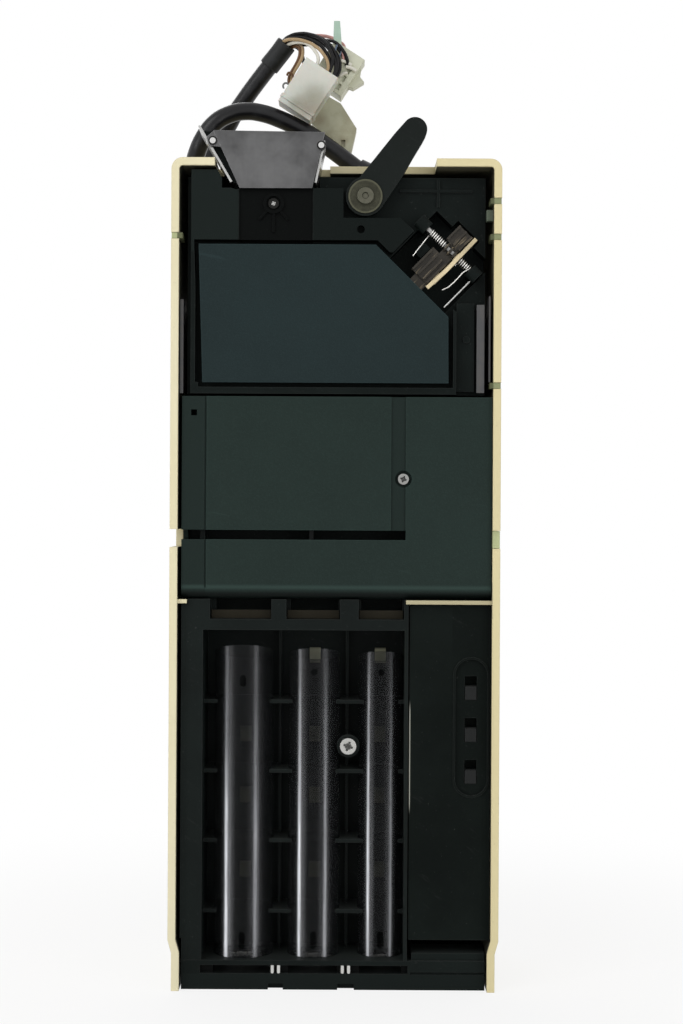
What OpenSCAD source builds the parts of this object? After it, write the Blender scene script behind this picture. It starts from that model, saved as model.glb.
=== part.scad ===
// Coin changer: an open-fronted housing with a coin acceptor at the top, a sorter behind a
// cover, three coin tubes in a cassette and a payout base. Units are millimetres. X runs to
// the right, Y to the back and Z up. The origin is the middle of the bottom.

/* [Housing] */
// Width over the side walls
body_w = 145.2; // [142:0.1:148]
// Height over the top wall
body_h = 366; // [362:1:370]
// Depth from the front edges to the back
body_d = 80; // [78:1:90]
// Thickness of the side and top walls
wall_t = 3.4; // [3:0.1:3.6]
// Thickness of the back wall
back_t = 3; // [2.5:0.1:3.5]
// Radius of the two upper corners
corner_r = 5; // [4:0.5:8]
// Side to side distance of the mounting holes
mount_w = 100; // [80:5:110]
// Height between the mounting holes
mount_h = 250; // [200:10:260]
// Diameter of the mounting holes
mount_hole = 5.4; // [4.5:0.1:6.5]

/* [Acceptor] */
// Depth of the coin lane behind the inlet
lane_d = 4.4; // [4.2:0.1:4.6]
// Thickness of the gate plate
gate_t = 2.4; // [2:0.1:2.6]
// Gap around the gate
gate_gap = 2; // [1:0.25:2]
// Diameter of the hinge pin
hinge_pin_d = 2.4; // [2:0.1:2.6]
// Wire diameter of the hinge springs
spring_wire = 0.6; // [0.4:0.05:0.62]

/* [Coin tubes] */
// Outer radii of the left, middle and right tube
tube_r = [13.3, 11.7, 10.2];
// Wall of the tubes
tube_wall = 1; // [0.8:0.1:1.6]
// Height of the tubes above the base
tube_h = 138.7; // [130:0.1:139]

/* [Buttons and payout] */
// How far a button goes in
button_travel = 1.5; // [1:0.1:1.5]
// Height between the buttons
button_pitch = 18.5; // [14:0.5:19]
// Height of the payout slot
slot_h = 3.6; // [2.8:0.1:3.8]

/* [Harness] */
// Diameter of the cable jacket
cable_d = 8.2; // [6:0.1:8.4]
// Diameter of one wire
wire_d = 1.6; // [1.2:0.1:1.7]

/* [Hidden] */
$fn = 48;

// Colours
cream = [0.91, 0.89, 0.75];
black = [0.10, 0.11, 0.11];
slate = [0.19, 0.23, 0.24];
jacket = [0.07, 0.07, 0.08];
steel = [0.60, 0.60, 0.61];
bright = [0.82, 0.82, 0.82];
olive = [0.42, 0.41, 0.30];
amber = [0.36, 0.30, 0.22];
brass = [0.86, 0.78, 0.62];
clip_green = [0.55, 0.61, 0.50];
smoke = [0.26, 0.26, 0.27, 0.6];
board_green = [0.10, 0.30, 0.18];
copper = [0.62, 0.36, 0.18];
milky = [0.88, 0.88, 0.84];
tan = [0.72, 0.69, 0.54];
beige = [0.80, 0.79, 0.64];

// Clearances: two solids of one body, and solids that move against each other
seat = 0.15;
free = 0.3;
fit = 0.05;
over = 1;

// Housing
half_w = body_w / 2;
front_y = -body_d / 2;
back_y = body_d / 2;
inner_x = half_w - wall_t;
foot_step = 1.6;
foot_z = [16.7, 22.4];
plan_r = 4;
funnel_gap = [-53.6, -3.1, -12];
lever_gap = [-3.1, 43.9, -20];
notch_z = [194.8, 202.7];
notch_y = -8;
shelf_z = [170.1, 171.9];
shelf_y = [-38.5, 8];
shelf_cut = [-65, 31.4, 2];
clip_h = 2.8;
clip_depth = 14;
clip_left_z = [331.7];
clip_right_z = [266.4, 331.7, 347.5];
board_y = [22, 23.6];
board_x = [-56, 56];
board_z = [62, 242];
post_r = 3;
post_inset = 5;

// Acceptor: depths of the slab, the raised deck and the recessed middle deck
slab_y = [-31, -27];
slab_x = [-66, 66];
slab_z = [262.5, 359];
deck_y = -38;
mid_deck_y = -36.9;
lane_y = [slab_y[0] - lane_d, slab_y[0]];
lane_x = [-41.5, -12];
funnel_seat_x = [-50.6, -7.6];
coil_at = [[-30, 315, 8.6], [-6, 313, 7.6], [26, 281, 6.6]];
deck_top = 361;
deck_low = 330.2;
mid_deck_x = [-43, -10.5];
mid_deck_top = 353;
rim_t = 1.4;
boss_at = [-27.8, 346.2];
boss_r = [4.5, 3.2];
small_hole = [10.7, 335, 1.75];
track_block = [[-55, 24], [-27, -15], [270, 350]];
bump_at = [57.5, 287];
side_deck = [[53.2, 61], [-34, -31], [264, 303]];

// Gate outline in X and Z
gate_pts = [[-60.6, 328.2], [17.3, 328.2], [49.3, 296.6], [49.5, 267.4], [-58.7, 267.4]];
gate_y = [-36.2 - gate_t, -36.2];
gate_rib_y = [-36.2, -33.8];

// Gate hinge: its middle, its slope in the front view and where its pieces lie along it
hinge_at = [50.2, 326.1];
hinge_y = -35;
hinge_slope = 44.5;
pin_s = [-18.8, 16.4];
pin_r = hinge_pin_d / 2;
upper_post = [-19.4, -14];
lower_post = [12.2, 17];
hinge_post_r = 3.2;
pocket_s = [-17, 17.5];
pocket_t = [-9, 20];
swing_s = [-7.2, 6.2];
swing_t = -12.6;
spring_stop = [[-11.4, -7.2], [5, 11]];
pocket_floor_y = -21;
pocket_wall = 2;
arm_s = [-2.8, 3.1];
arm_wide_s = [-6.6, 3.1];
arm_top_s = [-5, 3.1];
arm_t = [-11, 5, 27];
arm_y = [-34.6, -32.6];
collar_s = [3.5, 5.4];
lift_kink = [[-11.2, 4.6], [7.9, 5.0], [19.2, 4.35]];
lift_w = 1.7;
lift_y = [-39, -37.2];
upper_coil_s = -11.8;
upper_turns = 8;
lower_coil_s = 5.9;
lower_turns = 5.5;
keeper_s = 15.6;
keeper_t = [1.4, 19.6];
keeper_r = 0.4;
knuckle_s = [-2.8, -0.4, 2];
coil_pitch = spring_wire + 0.45;
coil_r = 1.7;

// Return lever
lever_at = [12.6, 349.7];
lever_y = [-36.9, -33.9];
lever_boss_r = 8.6;
lever_bore_r = 2.55;
lever_tip = [34.3, 379.4];
lever_tip_r = 5.4;
lever_pts = [[5.9, 352.9], [25.4, 377.5], [30.26, 382.99], [39.58, 378.28], [38.9, 376.1],
    [37.5, 373.4], [33.6, 366.9], [28.4, 357.8], [19.6, 344.7]];
washer_r = 7.5;

// Funnel
funnel_pts = [[-54.4, 378], [-5.3, 377.4], [-10.9, 352.8], [-42.7, 352.7]];
funnel_y = [-39.4, -38.2];
cheek_y = [-38.1, -14];
left_cheek = [[-60.8, 380.3], [-46.4, 355.6]];
right_cheek = [[-5.7, 373.6], [-9.4, 355.4]];
rivet_left = [-54.6, 373.4];
rivet_right = [-6.9, 371.6];

// Middle cover
cover_x = [-67.6, 68.9];
cover_z = [177, 261.3];
cover_y = [-38, -35.4];
cover_roll = 5;
cover_slot = [-67.6, 31.1, 198.3, 202.5];
cover_band = [24.5, 31];
cover_screw_at = [30, 225.2];
cover_hole = [-62.3, 254.1];

// Sorter behind the cover
sorter_y = [-22, -19.4];
sorter_rail_y = -33.6;
sorter_rail = [[-50, 243], [52, 226]];
chute_x = [-58.5, -25.5, 3.6, 33.5];
flap_pin_r = 1;
accept_pin = [-2, 254.5];
sorter_pin = [-10.5, 212];
flap_len = 17;

// Cassette and tubes
tube_x = [-40.4, -8.9, 20.9];
tube_y = -20;
tube_foot = 12.9;
frame_x = [-67.6, 32.6];
frame_z = [13, 172];
frame_y = [-36.5, -33.8];
window_x = [-58, 31];
window_z = [15.6, 158.4];
rear_wall_y = [-4, -1];
rib_z = [32.6, 64, 95, 126];
rib_y = -27;
mouth_x = [[-55, -27.9], [-21.3, 2.4], [10.6, 30.7]];
mouth_z = 163.2;
web_x = [-24.6, 5.8];
cassette_screw_at = [6.3, 106.6];
sensor_z = [47, 81, 109];
sensor_top_z = 145;
tube_hole_z = [135.6, 139.5, 139.4];
tube_slot_z = 20.6;
lip_z = [163.3, 167];

// Button panel
panel_x = [33.2, 68.9];
panel_z = [22, 169.6];
panel_y = [-35.6, -33];
oval_at = [60.5, 115.8];
oval_half = 23;
oval_r = 8;
window_w = 5.4;
window_h = 10.6;
button_x = 60.3;
button_z0 = 114.6;
button_w = 5;
button_h = 5.8;
button_drop = 2.2;
button_y = [-35, -31.4];
switch_y = -28;

// Payout base
base_x = [-66.9, 66.9];
base_y = [-36.5, 36.5];
slot_z0 = 7.1;
slot_x = [-58.6, 33];
lane_half = [12.5, 10.9, 9.3];
lip_d = 2;
pin_x = [-26.7, -23.9, 4.2, 7];
pusher_z = [7.8, 9.6];
pusher_y = [-14, 4];
plunger_y = [31.7, 34.8];
plunger_r = 2.6;
tongue_w = 4.8;
coil_y = [9, 35];
base_floor = 2.2;
notch_x = [[-28.6, -22], [2, 9.3]];
step_top = 16.2;
slot_pin_r = 0.9;

// Harness: the cable's middle line from the gland to the sleeve, resting on the top wall at the
// back, and the wires from the sleeve to the connectors
cable_route = [[9, 6, 370], [2.5, 6, 374.9], [-4.5, 6, 380], [-11.5, 6, 384.8], [-19, 5.5, 389],
    [-27, 5, 392.6], [-35, 4, 395], [-43, 3, 395.6], [-50.6, 2, 393.6], [-56.7, 1.1, 389.6],
    [-61.9, 1.4, 382.7], [-64.8, 4.2, 377.1], [-66.6, 9, 372.8], [-67.5, 15.2, 370.5],
    [-67.2, 22.1, 370.5], [-65.8, 28.4, 373], [-63.7, 32.8, 377.2], [-60.8, 35.3, 382.9],
    [-57.3, 35.4, 389.8], [-53, 34.6, 394.8], [-49.6, 33.6, 400.6], [-45.4, 32.2, 406.4],
    [-40.9, 30.8, 412.4], [-36, 29.2, 418.5], [-32.9, 28, 422.2]];
sleeve_end = [-24.3, 24.8, 432.4];
sleeve_r = 4.9;
gland_dir = [-0.8, 0, 0.6];
gland_len = 11;
wire_routes = [
    [[-26.6, 25.7, 433.4], [-24.4, 24.9, 435.4], [-20.4, 23, 436.4], [-15, 20.2, 436],
        [-9.6, 17, 434], [-5, 13.4, 430.4], [-1.8, 10, 425.4], [-0.2, 7.2, 419.6],
        [-0.6, 5.6, 415.4], [-2.1, 5, 412]],
    [[-26.5, 23.3, 432.5], [-24.2, 22, 434], [-20, 19.2, 434.2], [-14.6, 15.2, 432.6],
        [-9.6, 11.4, 429.4], [-5.6, 8.2, 424.6], [-3.6, 6, 418.8], [-4.6, 5.2, 413.7]],
    [[-23.3, 26.7, 430.9], [-21.2, 26.6, 431.6], [-18.6, 25.6, 430.2], [-16.8, 23.9, 426.4],
        [-16, 21.8, 420], [-14.9, 19.6, 411.4], [-12.4, 17.8, 403.6], [-8.3, 16.5, 398.5]],
    [[-24.8, 22.7, 430.9], [-22.4, 20.8, 431.6], [-18.4, 17, 431.2], [-14.2, 13, 429.4],
        [-11, 9.2, 425.6], [-9.1, 6.8, 420.8], [-10, 6.4, 417.1]],
    [[-23.2, 24.4, 430], [-21, 22.6, 430.8], [-18.6, 18.8, 429.4], [-17.8, 14.4, 426],
        [-18.4, 11.2, 421.8], [-20, 9.2, 418], [-21.8, 8, 414.4], [-22.7, 7.2, 410.8],
        [-22.1, 7, 408.5]],
    [[-25, 27.4, 432.5], [-22.6, 27, 434.6], [-17.6, 26, 436], [-11, 24.6, 436.4],
        [-4.6, 22.8, 435.4], [0, 21.2, 433], [2.6, 19.8, 430.6], [3.1, 19, 428.4]],
    [[-24.9, 25, 431.7], [-22.4, 24.2, 432.9], [-16, 23.5, 433.4], [-10.4, 21, 433.4],
        [-5.6, 17, 432.2], [-1.4, 12.4, 430.2], [2, 10.6, 426.4], [4.2, 10.8, 422],
        [4.6, 12.7, 418.6]]];
white_at = [-13.6, 5, 405.2];
white_size = [17.2, 12.5, 23.6];
beige_at = [0, 18.8, 418.1];
beige_size = [16.8, 12, 20.4];
beige_latch = [[8, 8.5], [10.4, 3], [13.4, 2], [10.8, -3.4], [8, -4]];
beige_tab = [[-1.9, 440.6], [0.9, 440.6], [1.8, 429], [-2.2, 431]];
plug_tilt = 33;
tan_pts = [[6.6, 379.6], [8.9, 389.8], [1.5, 401.4], [-4.2, 404.6], [-12, 392], [-2.8, 383.6],
    [4.4, 378.2]];
tan_y = [11.8, 22];
wire_sides = 8;
cable_sides = 12;
curl_rings = 8;
curl_sides = 6;

// ---------------------------------------------------------------- shared shapes

// A box from its limits on the three axes
module box(x, y, z) {
    translate([x[0], y[0], z[0]])
        cube([x[1] - x[0], y[1] - y[0], z[1] - z[0]]);
}

// An outline in X and Z, with its thickness along Y
module slab(y) {
    translate([0, y[1], 0])
        rotate([90, 0, 0])
            linear_extrude(y[1] - y[0])
                children();
}

// An outline in Y and Z, with its length along X
module bar(x) {
    translate([x[0], 0, 0])
        rotate([90, 0, 90])
            linear_extrude(x[1] - x[0])
                children();
}

// A round along Y, at a place in X and Z
module rod(at, y, r) {
    translate([at[0], y[1], at[1]])
        rotate([90, 0, 0])
            cylinder(h = y[1] - y[0], r = r);
}

// A screw head with a cross recess, its face at y[0]
module screw_head(at, y, r) {
    slot = [r * 1.2, r * 0.28];
    deep = (y[1] - y[0]) * 0.5;
    difference() {
        rod(at, y, r);
        for (turn = [0, 90])
            translate([at[0], y[0] + deep / 2 - over / 2, at[1]])
                rotate([0, turn + 20, 0])
                    cube([slot[0], deep + over, slot[1]], center = true);
    }
}

// A round-ended slot in X and Z
module oval(at, half, r) {
    translate(at)
        square([2 * r, 2 * half], center = true);
    for (side = [-1, 1])
        translate([at[0], at[1] + side * half])
            circle(r);
}

// What is drawn in it: X runs along the hinge pin from upper left to lower right, Z points from
// the pin away from the gate, and Y stays the depth
module on_hinge() {
    translate([hinge_at[0], 0, hinge_at[1]])
        rotate([0, hinge_slope, 0])
            children();
}

// A box on the hinge: s along the pin, t towards the gate
module hinge_box(s, t, y) {
    on_hinge()
        box(s, y, [-t[1], -t[0]]);
}

// A round along the hinge pin
module hinge_rod(s, r) {
    on_hinge()
        translate([s[0], hinge_y, 0])
            rotate([0, 90, 0])
                cylinder(h = s[1] - s[0], r = r);
}

// ---------------------------------------------------------------- tubes along a line

function unit(v) = v / norm(v);

// The direction of a route at one of its points
function along(path, i) =
    unit(path[min(i + 1, len(path) - 1)] - path[max(i - 1, 0)]);

// A sideways direction that is carried from ring to ring, so that a tube doesn't twist
function across(path, i) =
    i == 0 ? unit(cross(along(path, 0), [0.13, 1, 0.07]))
    : let (last = across(path, i - 1), a = along(path, i))
        unit(last - a * (last * a));

// One side of a tube's skin, as faces of three corners between two rings
function tube_faces(rings, sides) = concat(
    [for (i = [0:rings - 2]) for (k = [0:sides - 1]) let (n = (k + 1) % sides)
        [i * sides + k, i * sides + n, (i + 1) * sides + n]],
    [for (i = [0:rings - 2]) for (k = [0:sides - 1]) let (n = (k + 1) % sides)
        [i * sides + k, (i + 1) * sides + n, (i + 1) * sides + k]],
    [for (k = [1:sides - 2]) [0, k + 1, k]],
    [for (k = [1:sides - 2]) let (b = (rings - 1) * sides) [b, b + k, b + k + 1]]);

// A tube along a route's own points
module sweep(path, r, sides) {
    points = [for (i = [0:len(path) - 1])
        let (a = along(path, i), u = across(path, i), v = cross(a, u))
            for (k = [0:sides - 1])
                let (angle = 360 * k / sides)
                    path[i] + r * (cos(angle) * u + sin(angle) * v)];
    polyhedron(points, tube_faces(len(path), sides), convexity = 10);
}

// The middle line of a coil spring along X. Each end runs on as a leg square to the coil's
// radius: its points say how far it has drifted along X and how long it has become
function coil_path(turns, r, pitch, first, last) = concat(
    [for (i = [len(first) - 1:-1:0]) [first[i][0], r, -first[i][1]]],
    [for (i = [0:turns * curl_rings])
        let (angle = 360 * i / curl_rings)
            [pitch * angle / 360, r * cos(angle), r * sin(angle)]],
    [for (leg = last)
        let (angle = 360 * turns)
            [pitch * turns + leg[0], r * cos(angle) - leg[1] * sin(angle),
                r * sin(angle) + leg[1] * cos(angle)]]);

// The least gap between neighbouring curls, measured on the coil's own points without its legs
function curl_gap(path, wire, first, last) =
    min([for (i = [first:len(path) - 1 - last - curl_rings]) norm(path[i + curl_rings] - path[i])])
        - wire;

// ---------------------------------------------------------------- housing

// The housing's front outline, drawn inset by a wall
module housing_outline(inset, low) {
    half = half_w - inset;
    foot = half - foot_step;
    top = body_h - inset;
    r = corner_r - min(inset, corner_r - 1.5);
    polygon([[-foot, low], [foot, low], [foot, foot_z[0]], [half, foot_z[1]], [half, top - r],
        [half - r, top - r], [half - r, top], [r - half, top], [r - half, top - r], [-half, top - r],
        [-half, foot_z[1]], [-foot, foot_z[0]]]);
    for (side = [-1, 1])
        translate([side * (half - r), top - r])
            circle(r);
}

// The housing's plan, with the two back corners rounded
module housing_plan() {
    translate([-half_w, front_y])
        square([body_w, body_d - plan_r]);
    translate([plan_r - half_w, front_y])
        square([body_w - 2 * plan_r, body_d]);
    for (side = [-1, 1])
        translate([side * (half_w - plan_r), back_y - plan_r])
            circle(plan_r);
}

module board_posts() {
    for (x = [board_x[0] + post_inset, board_x[1] - post_inset])
        for (z = [board_z[0] + post_inset, board_z[1] - post_inset])
            difference() {
                rod([x, z], [board_y[1], back_y - back_t + over], post_r);
                rod([x, z], [board_y[1] - over, board_y[1] + 8], 1.2);
            }
}

module rear_housing() {
    color(cream)
    difference() {
        union() {
            difference() {
                intersection() {
                    slab([front_y, back_y])
                        housing_outline(0, 0);
                    linear_extrude(body_h)
                        housing_plan();
                }
                slab([front_y - over, back_y - back_t])
                    housing_outline(wall_t, -over);
            }
            difference() {
                box([-inner_x - over, inner_x + over], shelf_y, shelf_z);
                box([shelf_cut[0], shelf_cut[1]], [front_y - over, shelf_cut[2]],
                    [shelf_z[0] - over, shelf_z[1] + over]);
            }
            board_posts();
        }
        for (gap = [funnel_gap, lever_gap])
            box([gap[0], gap[1]], [front_y - over, gap[2]], [body_h - wall_t - 2, body_h + over]);
        for (side = [-1, 1])
            box([side * half_w - wall_t - over, side * half_w + wall_t + over],
                [front_y - over, notch_y], notch_z);
        for (z = clip_left_z)
            box([-half_w - over, -inner_x + over], [front_y - over, front_y + clip_depth],
                [z - clip_h / 2, z + clip_h / 2]);
        for (z = clip_right_z)
            box([inner_x - over, half_w + over], [front_y - over, front_y + clip_depth],
                [z - clip_h / 2, z + clip_h / 2]);
        for (x = [-mount_w / 2, mount_w / 2])
            for (z = [body_h / 2 - mount_h / 2, body_h / 2 + mount_h / 2])
                rod([x, z], [back_y - back_t - over, back_y + over], mount_hole / 2);
        translate([gland_base[0], gland_base[1], body_h - wall_t - over])
            cylinder(h = wall_t + 2 * over, r = gland_spigot_r + seat);
    }
}

// The clips that hold the acceptor and the cover through the slots in the side walls
module clip(side, z, depth) {
    box(side > 0 ? [inner_x - 1.6, half_w - 0.2] : [0.2 - half_w, 1.6 - inner_x],
        [front_y + 0.3, front_y + depth], z);
}

module retaining_clips() {
    h = clip_h / 2 - seat;
    color(clip_green) {
        for (z = clip_left_z)
            clip(-1, [z - h, z + h], clip_depth - seat);
        for (z = clip_right_z)
            clip(1, [z - h, z + h], clip_depth - seat);
        box([inner_x - 0.15, half_w - 0.2], [front_y + 0.3, front_y + clip_depth],
            [notch_z[0] + seat, notch_z[1] - seat]);
    }
}

// The gland: a flange on the top wall and a tapered boot that leans the way the cable leaves
gland_spigot_r = 5.2;
gland_base = cable_route[0] - gland_len * gland_dir;

module cable_gland() {
    color(jacket) {
        intersection() {
            translate(gland_base)
                rotate([0, -atan2(-gland_dir[0], gland_dir[2]), 0])
                    cylinder(h = gland_len, r1 = 7.4, r2 = cable_d / 2 + 1);
            box([-20, 40], [-20, 40], [body_h, body_h + 30]);
        }
        translate([gland_base[0], gland_base[1], body_h])
            cylinder(h = 1.6, r = 9);
        translate([gland_base[0], gland_base[1], body_h - wall_t - 3])
            cylinder(h = wall_t + 3, r = gland_spigot_r);
    }
}

module side_rails() {
    color(steel) {
        box([62, 65.4], [-35.8, -34.6], [263.4, 302.3]);
        box([64.4, 65.4], [-34.6, -31.2], [263.4, 302.3]);
        box([67.3, 68.1], [-36.4, -26], [268.1, 306]);
        box([-68.9, -67.3], [-36.4, -24], [262.6, 304]);
    }
}

module wall_clip() {
    color(steel)
    difference() {
        box([66.2, 69.1], [-35.6, -31.1], [339.4, 344.2]);
        box([65, 68.2], [-34.6, -32.4], [340.4, 343.2]);
    }
}

module board_screws() {
    color(steel)
    for (x = [board_x[0] + post_inset, board_x[1] - post_inset])
        for (z = [board_z[0] + post_inset, board_z[1] - post_inset]) {
            screw_head([x, z], [board_y[0] - 1.8, board_y[0]], 2.8);
            rod([x, z], [board_y[0] - 0.4, board_y[1] + 6], 1.15);
        }
}

// ---------------------------------------------------------------- acceptor

// The gate's outline, grown or shrunk evenly
module gate_outline(grow) {
    n = len(gate_pts);
    polygon([for (i = [0:n - 1])
        let (a = gate_pts[(i + n - 1) % n], b = gate_pts[i], c = gate_pts[(i + 1) % n],
            d1 = unit(b - a), d2 = unit(c - b), n1 = [-d1[1], d1[0]], n2 = [-d2[1], d2[0]])
                b + grow * (n1 + n2) / (1 + n1 * n2)]);
}

// The raised deck around the gate, without the lever's recess
module deck_outline() {
    polygon([[-64, deck_top], [-52.6, deck_top], [-48.8, 354.4], [-45, 352.4], [mid_deck_x[0], 352.4],
        [mid_deck_x[0], mid_deck_top],
        [2.9, mid_deck_top], [2.9, 340], [28, 340], [34, 334.6], [25, 325], [17, 325], [17, deck_low],
        [-62, deck_low], [-62, 262.5], [-64, 262.5]]);
    translate([-64, slab_z[0]])
        square([64 + 52.9, 5]);
    polygon([[51.5, 262.5], [52.9, 262.5], [52.9, 298.6], [51.5, 300]]);
}

// The deck's middle panel with the ribs of its screw boss
module boss_ribs() {
    rib = 1;
    rod(boss_at, [deck_y - 0.2, mid_deck_y + 0.2], boss_r[0]);
    for (turn = [-42, 0, 42])
        translate([boss_at[0], mid_deck_y, boss_at[1]])
            rotate([0, turn, 0])
                translate([-rib / 2, -0.9, turn == 0 ? -12.6 : -9.5])
                    cube([rib, 1, turn == 0 ? 12 : 9]);
}

module hinge_posts() {
    for (s = [upper_post, lower_post]) {
        hinge_rod(s, hinge_post_r);
        hinge_box(s, [-2.4, 2.4], [hinge_y, pocket_floor_y + 0.5]);
    }
}

// The wire that keeps the pin in, or the hole for it in the lower post
module keeper_wire(r, t) {
    on_hinge()
        translate([keeper_s, hinge_y + 0.6, -t[1]])
            cylinder(h = t[1] - t[0], r = r);
}

module pocket_walls() {
    w = pocket_wall;
    hinge_box([pocket_s[0] - w, pocket_s[1] + w], [pocket_t[0] - w, pocket_t[1] + w],
        [slab_y[0] + 0.5, pocket_floor_y + w]);
    hinge_box([swing_s[0] - w, swing_s[1] + w], [swing_t - w, 0], [slab_y[0] + 0.5, pocket_floor_y + w]);
}

// Coin rails on the slab behind the gate, as sloping steps
module coin_rails() {
    for (rail = [[-52, 306, 10, 62], [-6, 287, -14, 50], [-56, 284, 24, 20]])
        translate([rail[0], slab_y[0] - 1.9, rail[1]])
            rotate([0, rail[2], 0])
                cube([rail[3], 2.4, 1.8]);
}

module acceptor_body() {
    color(black)
    difference() {
        union() {
            box(slab_x, slab_y, slab_z);
            intersection() {
                slab([deck_y, slab_y[0] + 0.5])
                    deck_outline();
                box(slab_x, [deck_y, slab_y[1]], [slab_z[0], deck_top]);
            }
            box([track_block[0][0], track_block[0][1]], track_block[1] + [-0.5, 0], track_block[2]);
            box([side_deck[0][0], side_deck[0][1]], side_deck[1] + [0, 0.5], side_deck[2]);
            rod(bump_at, [side_deck[1][0] - 0.8, side_deck[1][0] + 0.2], 1.6);
            rod(lever_at, [-33.2, slab_y[0] + 0.5], 4.4);
            intersection() {
                pocket_walls();
                box(slab_x, [deck_y, 0], slab_z);
            }
            box([28, 60], [-32.2, slab_y[0] + 0.2], [352.4, 353.6]);
            box([44.4, 45.6], [-32.2, slab_y[0] + 0.2], [346, 358]);
        }
        // the well of the gate and the recessed middle deck
        slab([deck_y - over, slab_y[0]])
            gate_outline(gate_gap);
        box(mid_deck_x, [deck_y - over, mid_deck_y], [deck_low - over, deck_top + over]);
        box(funnel_seat_x, [deck_y - over, slab_y[1] + over], [mid_deck_top, deck_top + over]);
        for (c = coil_at)
            rod([c[0], c[1]], [slab_y[0] - over, slab_y[0] + 1.3], c[2] + seat);
        // the coin lane, open to the funnel above and to the gate's well below
        box(lane_x, lane_y, [deck_low - 4, deck_top + over]);
        // the hinge pocket
        hinge_box(pocket_s, [pocket_t[0], pocket_t[1] + 1], [deck_y - over, pocket_floor_y]);
        hinge_box(swing_s, [swing_t, 0], [deck_y - over, pocket_floor_y]);
        rod([small_hole[0], small_hole[1]], [deck_y - over, -34], small_hole[2]);
        rod(lever_at, [-34, -28.4], 1.65);
        rod(boss_at, [deck_y - over, mid_deck_y + 0.8], 1.25);
    }
    color(black) {
        difference() {
            boss_ribs();
            rod(boss_at, [deck_y - over, mid_deck_y - 0.1], boss_r[1]);
            rod(boss_at, [deck_y - over, mid_deck_y + 0.7], 1.25);
        }
        hinge_box(spring_stop[0], spring_stop[1], [-32, pocket_floor_y + 0.5]);
        difference() {
            hinge_posts();
            hinge_rod([pin_s[0] - 0.1, pin_s[1] + 0.1], pin_r + fit);
            keeper_wire(keeper_r + fit, [keeper_t[0] - 0.1, 4]);
        }
        intersection() {
            coin_rails();
            slab([-35, slab_y[0] + 0.2])
                gate_outline(gate_gap);
        }
    }
}

module sensor_coils() {
    color(copper)
    for (c = coil_at)
        difference() {
            rod([c[0], c[1]], [slab_y[0], slab_y[0] + 1.2], c[2]);
            rod([c[0], c[1]], [slab_y[0] - over, slab_y[0] + 0.6], c[2] * 0.4);
        }
}

module deck_screw() {
    color(bright) {
        screw_head(boss_at, [mid_deck_y - 1, mid_deck_y - 0.1], 2.3);
        rod(boss_at, [mid_deck_y - 0.2, mid_deck_y + 0.6], 1.15);
    }
}

// The steel front plate of the funnel, with an ear at each side for its rivet
module funnel_plate() {
    ear_r = 2.6;
    color(steel)
    difference() {
        slab(funnel_y)
            union() {
                polygon(funnel_pts);
                polygon([[-54, 378], [-57.2, 375.2], [-56, 371.2], [-50, 370.6]]);
                translate(rivet_right)
                    circle(ear_r - 0.6);
            }
        for (at = [rivet_left, rivet_right])
            rod(at, [funnel_y[0] - over, funnel_y[1] + over], 1.1);
    }
}

// The plastic chute behind the plate, whose floor slopes down to the coin lane
module funnel_body() {
    color(black)
    difference() {
        bar([-46.8, -10.2])
            polygon([[-30.7, 353.4], [-14, 353.4], [-14, 371], [-15.8, 371], [-30.7, 355.4]]);
        box([-48, -45.6], [-40, -10], [354, 380]);
    }
    // side walls beside the cheeks, with wings behind the edges of the steel plate
    color(black) {
        cheek([[-58.3, 378.4], [-45, 355.6]], [-35.9, -14], 1);
        cheek([[-7.1, 372.8], [-10.6, 355.4]], [-35.9, -14], 1);
        slab([-35.9, -34.4]) {
            polygon([[-58.1, 378.2], [-50, 378.2], [-43, 363], [-43, 355.6], [-44.9, 355.6]]);
            polygon([[-11.2, 372.8], [-7.1, 372.8], [-10.6, 355.6], [-11.3, 355.6]]);
        }
    }
}

// A thin plate on edge between two points of the front view
module cheek(line, y, thick) {
    d = unit(line[1] - line[0]);
    n = [-d[1], d[0]] * thick / 2;
    slab(y)
        polygon([line[0] + n, line[1] + n, line[1] - n, line[0] - n]);
}

module funnel_cheeks() {
    color(bright) {
        difference() {
            union() {
                cheek(left_cheek, [cheek_y[0], -14], 1);
                cheek([[-57.6, 372.9], [-51.8, 374.2]], [cheek_y[0], cheek_y[0] + 2], 2.2);
            }
            rod(rivet_left, [cheek_y[0] - over, cheek_y[0] + 3], 1.1);
        }
        difference() {
            union() {
                cheek(right_cheek, [cheek_y[0], -14], 1);
                cheek([[-7.6, 368.9], [-7, 374.2]], [cheek_y[0], cheek_y[0] + 2], 3.4);
            }
            rod(rivet_right, [cheek_y[0] - over, cheek_y[0] + 3], 1.1);
        }
    }
}

module funnel_rivets() {
    color(bright)
    for (at = [rivet_left, rivet_right]) {
        rod(at, [funnel_y[0] - 0.55, funnel_y[0]], 1.9);
        rod(at, [funnel_y[0] - 0.1, cheek_y[0] + 1.9], 1.05);
    }
}

module hinge_pin() {
    color(steel)
    hinge_rod(pin_s, pin_r);
    color(bright)
    keeper_wire(keeper_r, keeper_t);
}

// A torsion spring on the pin, with the ends of its wire as legs
module torsion_spring(s, turns, first, last, name) {
    path = coil_path(turns, coil_r, coil_pitch, first, last);
    echo(spring = name, least_gap_mm = curl_gap(path, spring_wire, len(first), len(last)));
    color(bright)
    on_hinge()
        translate([s, hinge_y, 0])
            sweep(path, spring_wire / 2, curl_sides);
}

module gate_spring_upper() {
    torsion_spring(upper_coil_s, upper_turns, [[1.5, 13]], [[0, 0.9]], "upper");
}

module gate_spring_lower() {
    torsion_spring(lower_coil_s, lower_turns, [[0, 3]], [[-0.9, 3], [-0.7, 8.6], [-0.9, 12], [-2, 15]],
        "lower");
}

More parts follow.
